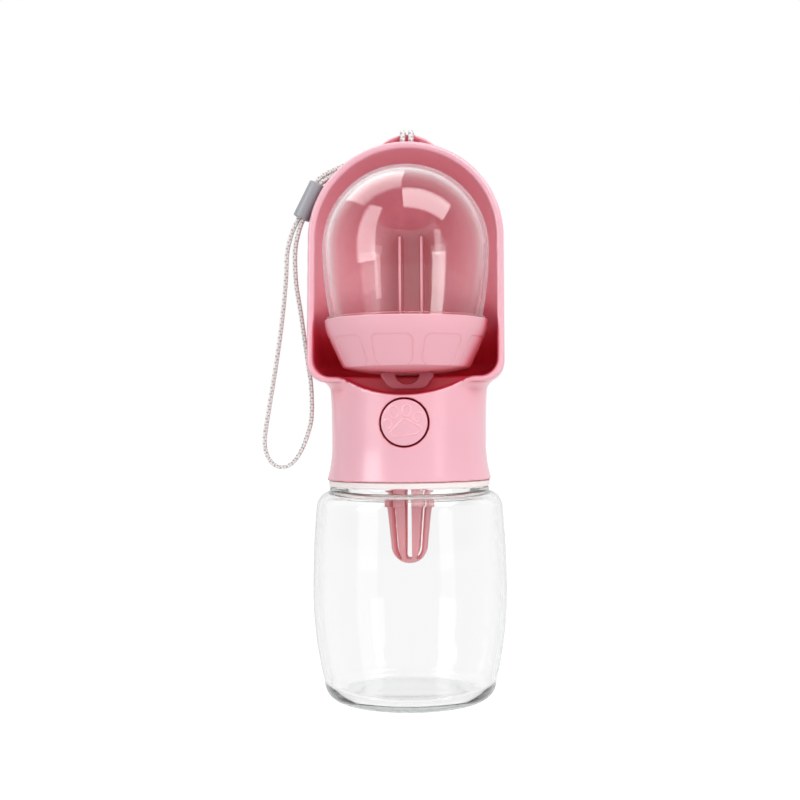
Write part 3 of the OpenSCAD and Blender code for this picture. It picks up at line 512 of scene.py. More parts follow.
def skin_of(distance, xs, ys, zs):
    """The surface where a distance is zero: one vertex in each grid cell that it crosses, at the mean
    of its crossings with the cell's edges, and a quad across each grid edge that it crosses. Each
    vertex then slides along the distance's slope onto the surface, which also gives its normal."""
    value = distance(xs[:, None, None], ys[None, :, None], zs[None, None, :])
    inside = value < 0
    shape = tuple(n - 1 for n in value.shape)
    total, hits = np.zeros(shape + (3,)), np.zeros(shape)
    low = np.stack(np.meshgrid(xs[:-1], ys[:-1], zs[:-1], indexing="ij"), axis=-1)
    span = np.stack(np.meshgrid(np.diff(xs), np.diff(ys), np.diff(zs), indexing="ij"), axis=-1)
    for axis in range(3):
        u, v = [k for k in range(3) if k != axis]
        a = np.take(value, range(value.shape[axis] - 1), axis)
        b = np.take(value, range(1, value.shape[axis]), axis)
        crossed = (a < 0) != (b < 0)
        share = np.where(crossed, a / np.where(crossed, a - b, 1), 0)
        for du, dv in ((0, 0), (0, 1), (1, 0), (1, 1)):
            window = [slice(None)] * 3
            window[u] = slice(du, du + shape[u])
            window[v] = slice(dv, dv + shape[v])
            hit = crossed[tuple(window)]
            offset = np.zeros(shape + (3,))
            offset[..., axis] = share[tuple(window)]
            offset[..., u], offset[..., v] = du, dv
            total += np.where(hit[..., None], low + span * offset, 0)
            hits += hit
    used = hits > 0
    index = np.full(shape, -1)
    index[used] = np.arange(used.sum())
    points = total[used] / hits[used][:, None]
    faces = []
    for axis in range(3):
        u, v = [k for k in range(3) if k != axis]
        window = [slice(1, -1)] * 3
        window[axis] = slice(None, -1)
        a = inside[tuple(window)]
        window[axis] = slice(1, None)
        b = inside[tuple(window)]
        where = np.argwhere(a != b)
        leaving = a[tuple(where.T)]
        corners = []
        for du, dv in ((0, 0), (1, 0), (1, 1), (0, 1)):
            cell = where.copy()
            cell[:, u] += du
            cell[:, v] += dv
            corners.append(index[tuple(cell.T)])
        quad = np.stack(corners, axis=1)
        flip = leaving if axis != 1 else ~leaving
        faces.append(np.where(flip[:, None], quad, quad[:, ::-1]))
    small = 0.02
    steps = small * np.eye(3)
    for _ in range(4):
        here = distance(*points.T)
        rise = [distance(*(points + step).T) - distance(*(points - step).T) for step in steps]
        slope = np.stack(rise, axis=1) / (2 * small)
        size = np.maximum((slope ** 2).sum(1), 0.05)
        move = -(here / size)[:, None] * slope
        points = points + np.clip(move, -0.4, 0.4)
    return points * mm, np.vstack(faces), unit(slope)


def skin_piece(name, distance, lines, material):
    """The skin of a distance as a piece, with the distance's own normals."""
    points, faces, normals = skin_of(distance, *lines)
    piece = new_piece(name, points, faces, material)
    piece.data.normals_split_custom_set_from_vertices(normals.tolist())
    return piece


# Painted shade: the pink deepens to red where the surface is shut in, as in the trough, the channel and the
# gap round the button.
pink_painted_shade = [(0.1, "#f5304a"), (0.45, "#bc4b5d"), (0.7, "#d36e7f"), (0.83, "#fdb4c0"), (1.0, "#ebb1be")]
pink_abs = moulded_plastic("pink gloss ABS", pink_painted_shade, 0.32, 0.9, grain=0.05, coat=0.3)
head_lines = [
    stretch(-37.2, 37.2, 1.0, -10.4, 10.4, 0.5),
    stretch(-31.6, 31.4, 1.0, -31.1, -26.1, 0.5),
    stretch(81.8, 214.4, 1.0, 93.8, 114.6, 0.5),
]
head = skin_piece("drinking_head", head_distance, head_lines, pink_abs)
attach(head, "head_body")
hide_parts("head_shell")

# ---- button ----
# A pink cap with a raised, plain paw, a rounded edge and a skirt, pressed onto the slider's rod.
# Its face follows the neck's curve and stands 0.7 mm proud.
button_radius = 8.35
button_face = 29.7
button_edge, button_wall = 0.55, 1.2
button_depth, button_thickness, rod_socket = 5.4, 2.4, 2.66
paw_height = 0.2
paw_line = 0.24
toes = [
    (-5.8, -0.7, 1.2, 1.7, 30), (-3.7, 3.5, 1.7, 2.2, 14),
    (1.0, 4.1, 1.6, 2.1, -8), (4.9, 1.7, 1.3, 1.8, -32)]
paw_pad = [(0.3, -0.4), (-3.3, -3.9), (4.4, -2.6)]
paw_pad_corner = 1.5


def paw(x, z):
    """Height of the paw's relief: a thin raised line round four ovals and a round-cornered triangle."""
    nearest = np.full(x.shape, 99.0)
    for cx, cz, a, b, lean in toes:
        c, s = math.cos(math.radians(lean)), math.sin(math.radians(lean))
        u, v = c * (x - cx) + s * (z - cz), -s * (x - cx) + c * (z - cz)
        nearest = np.minimum(nearest, np.abs(np.hypot(u / a, v / b) - 1) * min(a, b))
    corners = np.array(paw_pad)
    sides = np.full(x.shape, -99.0)
    ends = np.full(x.shape, 99.0)
    for p, q in zip(corners, np.roll(corners, -1, axis=0)):
        along = unit(q - p)
        u, v = (x - p[0]) * along[0] + (z - p[1]) * along[1], (z - p[1]) * along[0] - (x - p[0]) * along[1]
        sides = np.maximum(sides, -v)
        ends = np.minimum(ends, np.hypot(u - np.clip(u, 0, np.linalg.norm(q - p)), v))
    pad = np.where(sides < 0, -ends, ends) - paw_pad_corner
    nearest = np.minimum(nearest, np.abs(pad))
    return np.exp(-(nearest / paw_line) ** 2)


def smoothstep(t):
    """0 below 0, 1 above 1, and 3t^2 - 2t^3 between."""
    t = np.clip(t, 0, 1)
    return t * t * (3 - 2 * t)


def button_grid():
    """Rings of the cap from the face's middle out over the rounded edge, down the skirt and back inside.
    The face is at y = -sqrt(R^2 - x^2), raised by the paw."""
    flat_radius = button_radius - button_edge
    face = np.linspace(0, flat_radius, 72)
    a = np.radians(np.linspace(0, 90, 7)[1:])
    edge = np.column_stack([flat_radius + button_edge * np.sin(a), button_edge * (1 - np.cos(a))])
    inner = button_radius - button_wall
    rows = np.vstack([
        np.column_stack([face, 0 * face]), edge, [[button_radius, button_depth], [inner, button_depth]],
        [[inner, button_thickness], [rod_socket, button_thickness], [0, button_thickness]]])
    turn = 2 * math.pi * np.arange(320)[:, None] / 320
    x, z = rows[None, :, 0] * np.cos(turn), rows[None, :, 0] * np.sin(turn)
    front = -np.sqrt(button_face ** 2 - x ** 2)
    on_face = np.arange(len(rows)) < len(face)
    curved = np.arange(len(rows)) < len(face) + len(edge)
    y = np.where(curved, front, -button_face) + rows[None, :, 1]
    y = y - np.where(on_face, paw_height * paw(x, z), 0)
    return mm * np.stack([x, y, z + button_z], axis=-1)


# The cap's pink carries the same painted shade.
cap = turned_piece("button", button_grid(), moulded_plastic(
    "pink gloss ABS button", pink_painted_shade, 0.3, 0.9, grain=0.05, coat=0.5))
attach(cap, "button_body")
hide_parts("button_cap")

# ---- valve, slider and seals ----
# White acetal valve plate, slider and stem, a steel pin and two springs of drawn wire, and
# moulded silicone seals. These keep their CAD shapes, since the head hides them.


def drawn_steel(name):
    """Bright stainless wire: drawing leaves fine scratches along it, which blur the reflections."""
    material, tree, place = new_material(name)
    scratch = add(tree, "ShaderNodeTexNoise", {"Vector": place, "Scale": 1 / (1.111 * mm), "Detail": 2.0})
    rough = add(tree, "ShaderNodeMapRange", {"Value": scratch, "To Min": 0.2, "To Max": 0.36})
    shader = add(tree, "ShaderNodeBsdfPrincipled", {
        "Base Color": linear("#c8cacd"), "Metallic": 1.0, "Roughness": rough})
    add(tree, "ShaderNodeOutputMaterial", {"Surface": shader})
    return material


def silicone(name, colour, roughness=0.4, clear=0.25):
    """Moulded silicone rubber: slightly see-through, soft to the light, with a satin skin."""
    material, tree, place = new_material(name)
    shader = add(tree, "ShaderNodeBsdfPrincipled", {
        "Base Color": linear(colour), "Roughness": roughness,
        "Normal": grain_bump(tree, place, 0.35 * mm, 0.1, 0.05 * mm), "Transmission Weight": clear,
        "IOR": 1.41, "Subsurface Weight": 0.3, "Subsurface Radius": (3 * mm, 2 * mm, 2 * mm),
        "Subsurface Scale": 1.0})
    add(tree, "ShaderNodeOutputMaterial", {"Surface": shader})
    return material


# The acetal's white is painted darker where the surface is shut in: painted shade.
acetal = moulded_plastic("white acetal", [(0.1, "#e0d4cf"), (0.6, "#f4ece8")], 0.38, 0.3)
seal_rubber = silicone("white silicone seal", "#e9e9e6")
steel = drawn_steel("drawn stainless wire")
hidden_finish = {
    "valve_plate": acetal, "button_slider": acetal, "valve_stem": acetal,
    "plate_seal": seal_rubber, "mouth_gasket": seal_rubber,
    "button_seal": seal_rubber, "valve_disc": seal_rubber,
    "valve_pin": steel, "button_spring": steel, "valve_spring": steel,
}
for node_name, finish in hidden_finish.items():
    node_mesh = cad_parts[node_name].data
    node_mesh.materials.clear()
    node_mesh.materials.append(finish)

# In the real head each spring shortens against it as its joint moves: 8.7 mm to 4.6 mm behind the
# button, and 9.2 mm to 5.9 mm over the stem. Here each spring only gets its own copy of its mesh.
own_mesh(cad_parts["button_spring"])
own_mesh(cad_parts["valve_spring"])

# ---- filter cage ----
# A basket of translucent pink polypropylene on the plate's spigot, with a round tip and eight
# slots. Light passing through its thin ribs makes them glow. The slots' edges are painted redder: painted
# shade.
cage_top, cage_step, cage_bottom = 91.2, 73.0, 51.0
cage_radius, cage_body_radius, cage_tip_radius, cage_wall = 9.45, 8.5, 7.0, 1.45
slot_count, slot_half, slot_low, slot_high, slot_inner = 8, 1.2, 54.1, 81.6, 2.6


def cage_distance(x, y, z):
    """Distance to the cage: a turned cup with a round tip, less its hollow and the slots."""
    tip_z = cage_bottom + cage_tip_radius
    radius = np.hypot(x, y)
    share = np.clip((z - tip_z) / (cage_step - tip_z), 0, 1)
    side = cage_tip_radius + (cage_body_radius - cage_tip_radius) * share
    body = np.where(z < tip_z, np.hypot(radius, z - tip_z) - cage_tip_radius, radius - side)
    collar = cut(radius - cage_radius, cage_step - z, 0.3)
    outer = cut(join(body, collar, 0.3), z - cage_top, 0.3)
    bore = np.where(z < cage_step, side, cage_radius) - cage_wall
    hollow = np.where(z < tip_z, np.hypot(radius, z - tip_z) - cage_tip_radius + cage_wall, radius - bore)
    shell = cut(outer, -hollow, 0.25)
    pitch = 2 * math.pi / slot_count
    angle = np.arctan2(y, x) + math.pi / 2
    off = np.mod(angle + pitch / 2, pitch) - pitch / 2
    across = radius * np.sin(off)
    slot = np.hypot(across, z - np.clip(z, slot_low, slot_high)) - slot_half
    return cut(shell, -np.maximum(slot, slot_inner - radius), 0.25)


def tinted_polypropylene(name, colour, edge):
    """Thin translucent polypropylene: light passes through it and takes its colour. The edge colour is
    painted shade, laid on the slots' narrow walls where the surface is shut in."""
    material, tree, place = new_material(name)
    open_share = add(tree, "ShaderNodeAmbientOcclusion", {"Distance": 4 * mm}, samples=8)
    openness = add(tree, "ShaderNodeMapRange", {
        "Value": open_share.outputs["AO"], "From Min": 0.1, "From Max": 0.6})
    tone = add(tree, "ShaderNodeMix", {
        "Factor": openness, "A": linear(edge), "B": linear(colour)}, data_type="RGBA")
    skin = add(tree, "ShaderNodeBsdfPrincipled", {
        "Base Color": tone.outputs["Result"], "Roughness": 0.25, "IOR": 1.49,
        "Normal": grain_bump(tree, place, 2 * mm, 0.08, 0.1 * mm)})
    glow = add(tree, "ShaderNodeBsdfTranslucent", {"Color": tone.outputs["Result"]})
    shader = add(tree, "ShaderNodeMixShader", {0: 0.45, 1: skin, 2: glow})
    add(tree, "ShaderNodeOutputMaterial", {"Surface": shader})
    return material


cage_lines = [stretch(-9.9, 9.9, 0.36), stretch(-9.9, 9.9, 0.36), stretch(50.6, 91.6, 0.42)]
# The slots' walls take the painted shade colour #dd3048.
cage = skin_piece("filter_basket", cage_distance, cage_lines,
    tinted_polypropylene("pink polypropylene", "#ffc9d0", "#dd3048"))
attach(cage, "cage_body")
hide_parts("filter_cage")

# ---- bottle ----
# A clear blow-moulded copolyester bottle with a threaded neck, a rounded shoulder, softly bulging
# sides and a thick base with a ring groove. The plastic has a faint green-grey tint in its edges.
bottle_radius, shoulder_z, belly_z = 36.5, 80.3, 41.0
base_draw, shoulder_draw, shoulder_end, shoulder_drop = 6.0, 2.3, 30.0, 1.6
foot_corner, shoulder_corner, bottle_wall, base_thickness = 7.0, 6.5, 1.8, 3.0
neck_radius, neck_wall, mouth_z = 26.0, 2.0, 89.6
thread_start, thread_lead, thread_turns, thread_height = 84.4, 3.0, 1.1, 1.1
thread_half, thread_flank, thread_fade = 0.7, 0.35, 0.06
groove_radius, groove_depth = 20.8, 0.5


def bottle_side(z):
    """Outer radius of the bottle: two parabolas that meet at the belly."""
    low = bottle_radius - base_draw * ((belly_z - z) / belly_z) ** 2
    high = bottle_radius - shoulder_draw * ((z - belly_z) / (shoulder_z - belly_z)) ** 2
    return np.where(z < belly_z, low, high)


def thread_push(a, r, z):
    """Height of the thread's ridge over the neck: a trapezium round z = start + lead * turns."""
    turn = np.mod((a + math.pi / 2) / (2 * math.pi), 1)
    height = np.zeros_like(r)
    for lap in (0, 1):
        t = turn + lap
        ends = np.clip(t / thread_fade, 0, 1) * np.clip((thread_turns - t) / thread_fade, 0, 1)
        off = np.abs(z / mm - thread_start - thread_lead * t)
        ridge = np.clip((thread_half - off) / thread_flank, 0, 1)
        height = np.maximum(height, thread_height * ends * smoothstep(ridge))
    return np.where(r > (neck_radius - 0.2) * mm, height, 0) * mm * (z > (shoulder_z + 0.6) * mm)


def bend(r, z, radius, a):
    """A round bend of the profile about (r, z), at the angles a."""
    return np.column_stack([r + radius * np.cos(a), z + radius * np.sin(a)])


def bottle_profile():
    """Outside from the middle of the base up to the mouth, then back down the inside."""
    side_top = shoulder_z - shoulder_drop - shoulder_corner
    foot_x = float(bottle_side(foot_corner)) - foot_corner
    top_x = float(bottle_side(side_top)) - shoulder_corner
    foot = np.radians(np.linspace(-90, -4, 12))
    stop = math.acos(min(1.0, (shoulder_end - top_x) / shoulder_corner))
    shoulder = np.linspace(math.radians(4), stop, 14)
    rise = np.linspace(foot_corner, side_top, 44)
    inside = shoulder_corner - bottle_wall
    turn_in = np.linspace(math.radians(90), math.radians(4), 12)
    heel = foot_corner - bottle_wall
    fall = np.linspace(side_top, base_thickness + heel, 40)
    low_x = float(bottle_side(base_thickness + heel)) - bottle_wall - heel
    low = np.radians(np.linspace(-6, -90, 12))
    outer = np.vstack([
        bend(foot_x, foot_corner, foot_corner, foot), np.column_stack([bottle_side(rise), rise]),
        bend(top_x, side_top, shoulder_corner, shoulder)])
    base = rounded([
        (0, 0, 0), (groove_radius - 0.7, 0, 0.2), (groove_radius - 0.3, groove_depth, 0.3),
        (groove_radius + 0.3, groove_depth, 0.3), (groove_radius + 0.7, 0, 0.2), (foot_x, 0, 0)])
    neck_bore = neck_radius - neck_wall
    neck = even(rounded([
        (shoulder_end, shoulder_z - 0.4, 0), (shoulder_end - 0.6, shoulder_z, 0.4),
        (neck_radius, shoulder_z, 0.6), (neck_radius, mouth_z, 0.5), (neck_bore, mouth_z, 0.5),
        (neck_bore, side_top + inside, 0)]), 0.22)
    inner = np.vstack([
        bend(top_x, side_top, inside, turn_in), np.column_stack([bottle_side(fall) - bottle_wall, fall]),
        bend(low_x, base_thickness + heel, heel, low),
        [[12.0, base_thickness - 0.1], [6.0, base_thickness], [0, base_thickness]]])
    return mm * np.vstack([base, outer[1:], neck, inner])


def lets_light_through(piece):
    """The clear wall takes no light from what stands in or behind it."""
    piece.visible_shadow = False
    piece.visible_diffuse = False


def clear_plastic(name, tint, depth_tint, density, haze, haze_share, ior):
    """Polished clear copolyester: see-through, with a faint tint where it is thick. Its mould lines and
    fine scratches scatter light, which shows where the wall is seen edge on."""
    material, tree, place = new_material(name)
    clear = add(tree, "ShaderNodeBsdfPrincipled", {
        "Base Color": linear(tint), "Roughness": 0.01, "IOR": ior, "Transmission Weight": 1.0,
        "Normal": grain_bump(tree, place, 22.22 * mm, 0.03, 0.5 * mm, 1.0)})
    behind = add(tree, "ShaderNodeBsdfTranslucent", {"Color": linear(haze)})
    before = add(tree, "ShaderNodeBsdfDiffuse", {"Color": linear(haze)})
    milky = add(tree, "ShaderNodeMixShader", {0: 0.6, 1: behind, 2: before})
    facing = add(tree, "ShaderNodeLayerWeight", {"Blend": 0.5})
    edge = add(tree, "ShaderNodeMapRange", {
        "Value": facing.outputs["Facing"], "From Min": 0.45, "From Max": 1.0, "To Max": haze_share},
        interpolation_type="SMOOTHSTEP")
    shader = add(tree, "ShaderNodeMixShader", {0: edge, 1: clear, 2: milky})
    volume = add(tree, "ShaderNodeVolumeAbsorption", {"Color": linear(depth_tint), "Density": density})
    add(tree, "ShaderNodeOutputMaterial", {"Surface": shader, "Volume": volume})
    return material


bottle = turned_piece("bottle_body", lathe(bottle_profile(), 256, push=thread_push),
    clear_plastic("clear copolyester", "#fefefe", "#bcd6c8", 4.0, "#e9ecec", 0.45, 1.33))
lets_light_through(bottle)
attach(bottle, "bottle_body")
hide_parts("bottle")

# ---- collar ring ----
# A pale, slightly see-through silicone ring between the head's skirt and the bottle's shoulder.
# It is moulded flat, with softened edges.
collar_bore, collar_radius, collar_low, collar_top = 26.1, 30.3, 80.4, 82.6
collar_profile = mm * rounded([
    (collar_bore, 81.5, 0), (collar_bore, collar_low, 0.2), (collar_radius, collar_low, 0.45),
    (collar_radius, collar_top, 0.45), (collar_bore, collar_top, 0.2), (collar_bore, 81.5, 0)])
collar = turned_piece("collar", lathe(collar_profile[:-1], 192),
    silicone("blush silicone ring", "#fdf0ee", 0.35, 0.05), closed=True)
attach(collar, "collar_body")
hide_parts("collar_ring")

# ---- food cup ----
# A clear thin-walled dome, mouth down in its lid, with a bead that rests on the lid's lip.
# The polished copolyester mirrors the studio's lamps on both of its faces.
cup_y = -13.0
cup_radius, cup_mouth, cup_wall = 30.6, 27.8, 1.6
cup_low, bead_z, bead_radius, bead_height, dome_z = 137.9, 141.8, 29.15, 0.8, 168.2
cup_side_height = 26.4


def cup_profile():
    """Outside from the skirt's edge up over the bead, the side and the dome, then back inside."""
    def side(z):
        return cup_radius - (cup_radius - cup_mouth) * ((dome_z - z) / cup_side_height) ** 2
    bead_top = bead_z + bead_height
    up = np.linspace(bead_top + 0.3, dome_z, 30)
    over = np.radians(np.linspace(3, 90, 34))
    down = np.linspace(dome_z, cup_low, 32)
    skirt = rounded([(cup_mouth - 0.8, cup_low, 0), (cup_mouth, cup_low, 0.4), (cup_mouth, bead_z, 0.2),
        (bead_radius, bead_z, 0.3), (bead_radius, bead_top, 0.35),
        (float(side(bead_top)) + 0.02, bead_top, 0.3), (float(side(up[0])), up[0], 0)], 4)
    return mm * np.vstack([
        skirt, np.column_stack([side(up), up])[1:],
        bend(0, dome_z, cup_radius, over), bend(0, dome_z, cup_radius - cup_wall, over[::-1]),
        np.column_stack([side(np.maximum(down, bead_z)) - cup_wall, down])[1:]])


cup = turned_piece("food_dome", lathe(cup_profile(), 224, centre=(0, cup_y * mm)),
    clear_plastic("clear copolyester cup", "#ffffff", "#dfe2e2", 3.0, "#f3eef0", 0.6, 1.42), closed=True)
lets_light_through(cup)
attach(cup, "cup_body")
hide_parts("food_cup")

# ---- cup lid ----
# A soft pink silicone bowl that grips the cup's skirt. Nine plain pads are outlined round its side,
# and a tab with a finger hole hangs under its front.
lid_z, lid_low_z, lid_top = 121.3, 124.3, 141.7
lid_low_radius, lid_lip_radius, lid_bulge = 23.5, 30.05, 3.0
lid_bore, lid_ledge_z, lid_ledge_radius, lid_wall = 27.85, 137.8, 26.2, 1.8
lid_floor_radius, lid_floor_rise = 22.0, 2.6
lid_slope, lid_blend = 0.48, 1.2
lid_turn = math.radians(5)
pad_count, pad_centre, pad_z = 9, math.radians(262.5), 129.6
pad_half, pad_half_height, pad_corner, pads_low, pads_high = 7.2, 5.3, 2.6, 124.0, 137.5
outline_depth, outline_width, field_depth = 0.26, 0.22, 0.14
tab_front, tab_thickness, tab_half, tab_end_half, tab_drop = -25.0, 2.0, 9.9, 6.3, 5.3
tab_hole, tab_hole_rise, tab_edge = 4.45, 1.1, 0.55


def lid_side(z):
    """Outer radius of the lid: a cone and a steep band at the lip, blended into one curve."""
    cone = lid_low_radius + 0.1 + lid_slope * (z - lid_low_z)
    band = lid_lip_radius + 0.2 - 0.05 * (lid_top - z)
    return (cone + band - np.hypot(cone - band, lid_blend)) / 2


def pad_push(a, r, z):
    """A groove along each pad's outline, a rounded trapezium on the lid's side, and a sunk field."""
    pitch = 2 * math.pi / pad_count
    off = np.mod(a - pad_centre + pitch / 2, pitch) - pitch / 2
    u, v = off * r / mm, z / mm - pad_z
    d = rounded_box(u, v, pad_half + 0.1 * v, pad_half_height, pad_corner)
    groove = outline_depth * np.exp(-(d / outline_width) ** 2)
    field = field_depth * smoothstep(0.5 - d / 0.5)
    outside = (r > (lid_side(z / mm) - 0.05) * mm) & (z > pads_low * mm) & (z < pads_high * mm)
    return -(groove + field) * mm * outside


def lid_profile():
    """Outside from the middle of the bulging bottom up the side to the lip, then back inside."""
    bulge = (lid_low_radius ** 2 + lid_bulge ** 2) / (2 * lid_bulge)
    bottom_r = np.linspace(0, lid_low_radius - 1.2, 14)
    bottom = np.column_stack([bottom_r, lid_z + bulge - np.sqrt(bulge ** 2 - bottom_r ** 2)])
    z = np.linspace(lid_low_z + 1.1, lid_top - 0.7, 66)
    corner = rounded([(*bottom[-1], 0), (lid_low_radius, lid_low_z, 1.3), (lid_side(z[0]), z[0], 0)])
    lip = rounded([(lid_side(z[-1]), z[-1], 0), (lid_lip_radius, lid_top, 0.7), (lid_bore, lid_top, 0.4),
        (lid_bore, lid_ledge_z, 0.3), (lid_ledge_radius, lid_ledge_z, 0.3), (25.7, 136.2, 0)])
    inside = np.linspace(135, lid_low_z + 3.4, 12)
    return mm * np.vstack([
        bottom, corner[1:-1], np.column_stack([lid_side(z), z]), lip[1:],
        np.column_stack([lid_side(inside) - lid_wall - 0.4, inside]),
        rounded([(lid_floor_radius, lid_low_z + 2.2, 0), (lid_floor_radius - 1.5, lid_low_z + 1.9, 1.0),
            (0, lid_z + lid_floor_rise, 0)])])


def soft_silicone(name, painted_shade_tones):
    """Pigmented soft-touch silicone: matte, with a fine velvety skin. Its colour carries painted shade,
    deeper where it is shut in.
    """
    material, tree, place = new_material(name)
    shader = add(tree, "ShaderNodeBsdfPrincipled", {
        "Base Color": painted_shade_by_openness(tree, 30 * mm, painted_shade_tones), "Roughness": 0.55,
        "Normal": grain_bump(tree, place, 0.3333 * mm, 0.12, 0.04 * mm),
        "Sheen Weight": 0.15, "Sheen Roughness": 0.4})
    add(tree, "ShaderNodeOutputMaterial", {"Surface": shader})
    return material


def tab_distance(x, y, z):
    """Distance to the pull tab: a plate that narrows downwards, with a half-round finger hole.
    It is turned round the lid's axis with the lid."""
    c, s = math.cos(lid_turn), math.sin(lid_turn)
    x, y = c * x + s * (y - cup_y), cup_y - s * x + c * (y - cup_y)
    low, high = lid_z - tab_drop, lid_z + 1.6
    share = np.clip((lid_z - 0.6 - z) / (tab_drop - 0.6), 0, 1)
    half = tab_half - 0.4 - (tab_half - 0.4 - tab_end_half) * share
    side = 0.86 * (np.abs(x) - half)
    plate = cut(side, np.maximum(low - z, z - high), 1.6)
    plate = cut(plate, np.abs(y - tab_front - tab_thickness / 2) - tab_thickness / 2, tab_edge)
    hole = cut(np.hypot(x, z - lid_z - tab_hole_rise) - tab_hole, z - lid_z - 0.3, 0.5)
    return cut(plate, -hole, 0.45)


# The lid's pink is painted deeper where it is shut in, as on its underside: painted shade.
lid_rubber = soft_silicone("soft pink silicone", [(0.3, "#d0334a"), (0.62, "#e87384"), (0.9, "#eaacb8")])
# The tab is a darker copy of the same silicone: painted shadow from the lid above it.
tab_rubber_painted_shadow = soft_silicone(
    "soft pink silicone tab in painted shadow", [(0.3, "#902034"), (0.62, "#a53c4d"), (0.95, "#d57f8d")])
lid = turned_piece("soft_lid", lathe(lid_profile(), 900, centre=(0, cup_y * mm), push=pad_push), lid_rubber)
tab_lines = [stretch(-9.8, 11.8, 0.3), stretch(-26.4, -21.4, 0.3), stretch(115.4, 123.4, 0.3)]
tab = skin_piece("lid_tab", tab_distance, tab_lines, tab_rubber_painted_shadow)
for soft in (lid, tab):
    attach(soft, "lid_body")
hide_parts("cup_lid")

# ---- studio ----
# A pale floor in a white surround that lights the shadows evenly. Six lamps are only mirrored, as four
# windows and two skylights in the dome and the bottle. Three others light the dull surfaces.
mirror_centre = mm * Vector((0, -10, 150))


def lamp(name, middle, across, up, strength, mirrored_only=True):
    """A rectangular lamp by its middle and its two edges, in metres from the dome, which it faces. One
    that is only mirrored gives no light of its own to dull surfaces."""
    light = bpy.data.lights.new(name, "AREA")
    light.shape = "RECTANGLE"
    middle, across, up = Vector(middle), Vector(across), Vector(up)
    if across.cross(up).dot(middle) < 0:
        across = -across
    light.size, light.size_y = across.length, up.length
    light.energy = strength * math.pi * across.length * up.length
    turn = Matrix((across.normalized(), up.normalized(), across.cross(up).normalized())).transposed()
    made = bpy.data.objects.new(name, light)
    made.matrix_world = Matrix.Translation(mirror_centre + middle) @ turn.to_4x4()
    made.visible_diffuse = not mirrored_only
    made.visible_glossy = mirrored_only
    made.visible_transmission = mirrored_only
    bpy.context.scene.collection.objects.link(made)


lamp("left window", (-0.76, -0.60, 0.57), (0.29, -0.37, 0), (0, 0, 1.1), 5.0)
lamp("left skylight", (-0.34, 0.2, 0.78), (0.58, 0, 0.33), (0, 0.66, -0.12), 2.4)
lamp("right skylight", (0.37, -0.30, 0.74), (0.77, 0.24, -0.23), (0, 0.46, 0.2), 6.0)
lamp("right window", (0.74, -0.67, 0.2), (0.12, 0.11, 0), (0, 0, 0.3), 3.0)
lamp("left low window", (-0.72, -0.65, -0.365), (0.3, -0.33, 0), (0, 0, 0.87), 1.6)
lamp("right low window", (0.73, -0.66, -0.365), (0.21, 0.23, 0), (0, 0, 0.87), 1.6)
lamp("key lamp", (0.6, -0.5, 0.68), (0.6, 0.55, 0), (-0.35, 0.4, 0.58), 1.35, mirrored_only=False)
lamp("front fill", (0.15, -0.95, 0.25), (1.2, 0.19, 0), (-0.05, 0.3, 1.16), 0.8, mirrored_only=False)
lamp("left fill", (-0.85, -0.5, 0.3), (0.3, -0.5, 0), (0.1, 0.06, 0.5), 0.55, mirrored_only=False)

ground = bpy.data.meshes.new("floor")
reach = 6.0
floor_corners = [(-reach, -reach, 0), (reach, -reach, 0), (reach, reach, 0), (-reach, reach, 0)]
ground.from_pydata(floor_corners, [], [(0, 1, 2, 3)])
floor = bpy.data.objects.new("floor", ground)
bpy.context.scene.collection.objects.link(floor)
floor.visible_glossy = False
floor_material, tree = new_material("white paper floor")[:2]
seen = add(tree, "ShaderNodeLightPath")
paper = add(tree, "ShaderNodeBsdfDiffuse", {"Color": linear("#f4f4f4")})
lit_paper = add(tree, "ShaderNodeEmission", {"Color": (1, 1, 1, 1), "Strength": 1.22})
glass_paper = add(tree, "ShaderNodeEmission", {"Color": (1, 1, 1, 1), "Strength": 0.97})
camera_share = add(tree, "ShaderNodeMath", {
    0: seen.outputs["Is Camera Ray"], 1: 0.75}, operation="MULTIPLY")
direct = add(tree, "ShaderNodeMixShader", {0: camera_share, 1: paper, 2: lit_paper})
mix = add(tree, "ShaderNodeMixShader", {
    0: seen.outputs["Is Transmission Ray"], 1: direct, 2: glass_paper})
add(tree, "ShaderNodeOutputMaterial", {"Surface": mix})
ground.materials.append(floor_material)

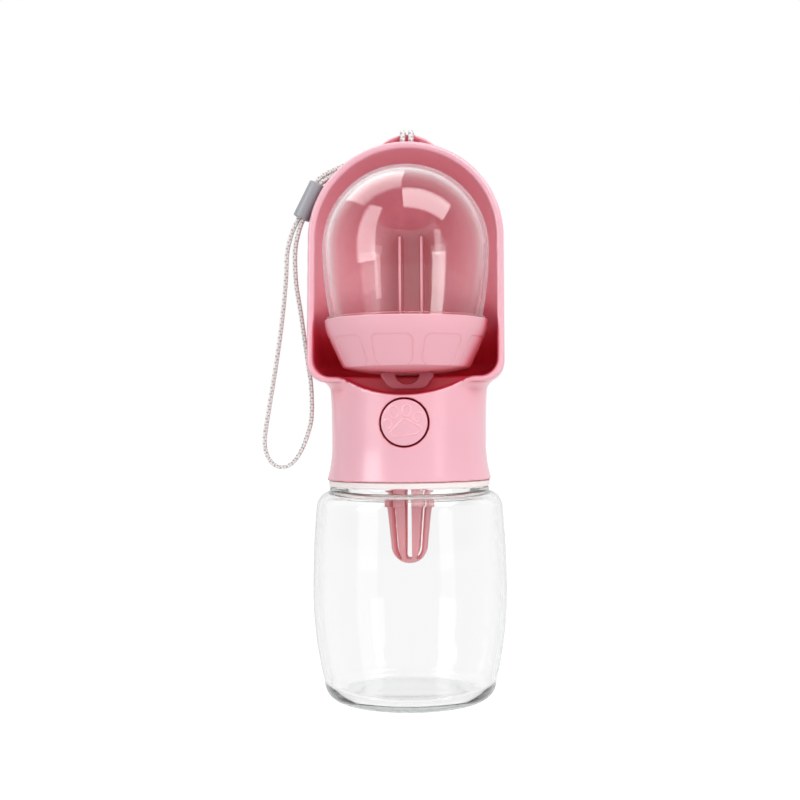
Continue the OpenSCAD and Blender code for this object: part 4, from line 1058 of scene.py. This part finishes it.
world = bpy.data.worlds.new("studio")
bpy.context.scene.world = world
world.use_nodes = True
tree = world.node_tree
tree.nodes.clear()
# The camera sees white. Dull surfaces are lit by a soft fill. Clear walls show the white behind them, a
# little greyer in the very middle. What is mirrored, behind two clear surfaces at most, is dim on the
# camera's side, like a dark room.
seen = add(tree, "ShaderNodeLightPath")
coords = add(tree, "ShaderNodeTexCoord")
toward = add(tree, "ShaderNodeSeparateXYZ", {"Vector": coords.outputs["Generated"]})
fill = add(tree, "ShaderNodeMapRange", {
    "Value": toward.outputs["Z"], "From Min": -0.2, "From Max": 0.7, "To Min": 0.6, "To Max": 0.75})
sideways = add(tree, "ShaderNodeMath", {0: toward.outputs["X"]}, operation="ABSOLUTE")
straight = add(tree, "ShaderNodeMapRange", {
    "Value": sideways, "From Min": 0.01, "From Max": 0.06, "To Min": 0.87, "To Max": 1.0})
mirrored = add(tree, "ShaderNodeMapRange", {
    "Value": toward.outputs["Y"], "From Min": -0.3, "From Max": 0.4, "To Min": 0.2, "To Max": 1.0})
once_mirrored = add(tree, "ShaderNodeMath", {
    0: seen.outputs["Glossy Depth"], 1: 0.5}, operation="GREATER_THAN")
few_walls = add(tree, "ShaderNodeMath", {
    0: seen.outputs["Transmission Depth"], 1: 2.5}, operation="LESS_THAN")
bounced = add(tree, "ShaderNodeMath", {0: once_mirrored, 1: few_walls}, operation="MULTIPLY")
shown = add(tree, "ShaderNodeMapRange", {"Value": bounced, "To Min": straight, "To Max": mirrored})
sharp = add(tree, "ShaderNodeMath", {
    0: seen.outputs["Is Glossy Ray"], 1: seen.outputs["Is Transmission Ray"]}, operation="MAXIMUM")
lit = add(tree, "ShaderNodeMapRange", {"Value": sharp, "To Min": fill, "To Max": shown})
level = add(tree, "ShaderNodeMath", {0: seen.outputs["Is Camera Ray"], 1: lit}, operation="MAXIMUM")
surround = add(tree, "ShaderNodeBackground", {"Color": (1, 1, 1, 1), "Strength": level})
add(tree, "ShaderNodeOutputWorld", {"Surface": surround})
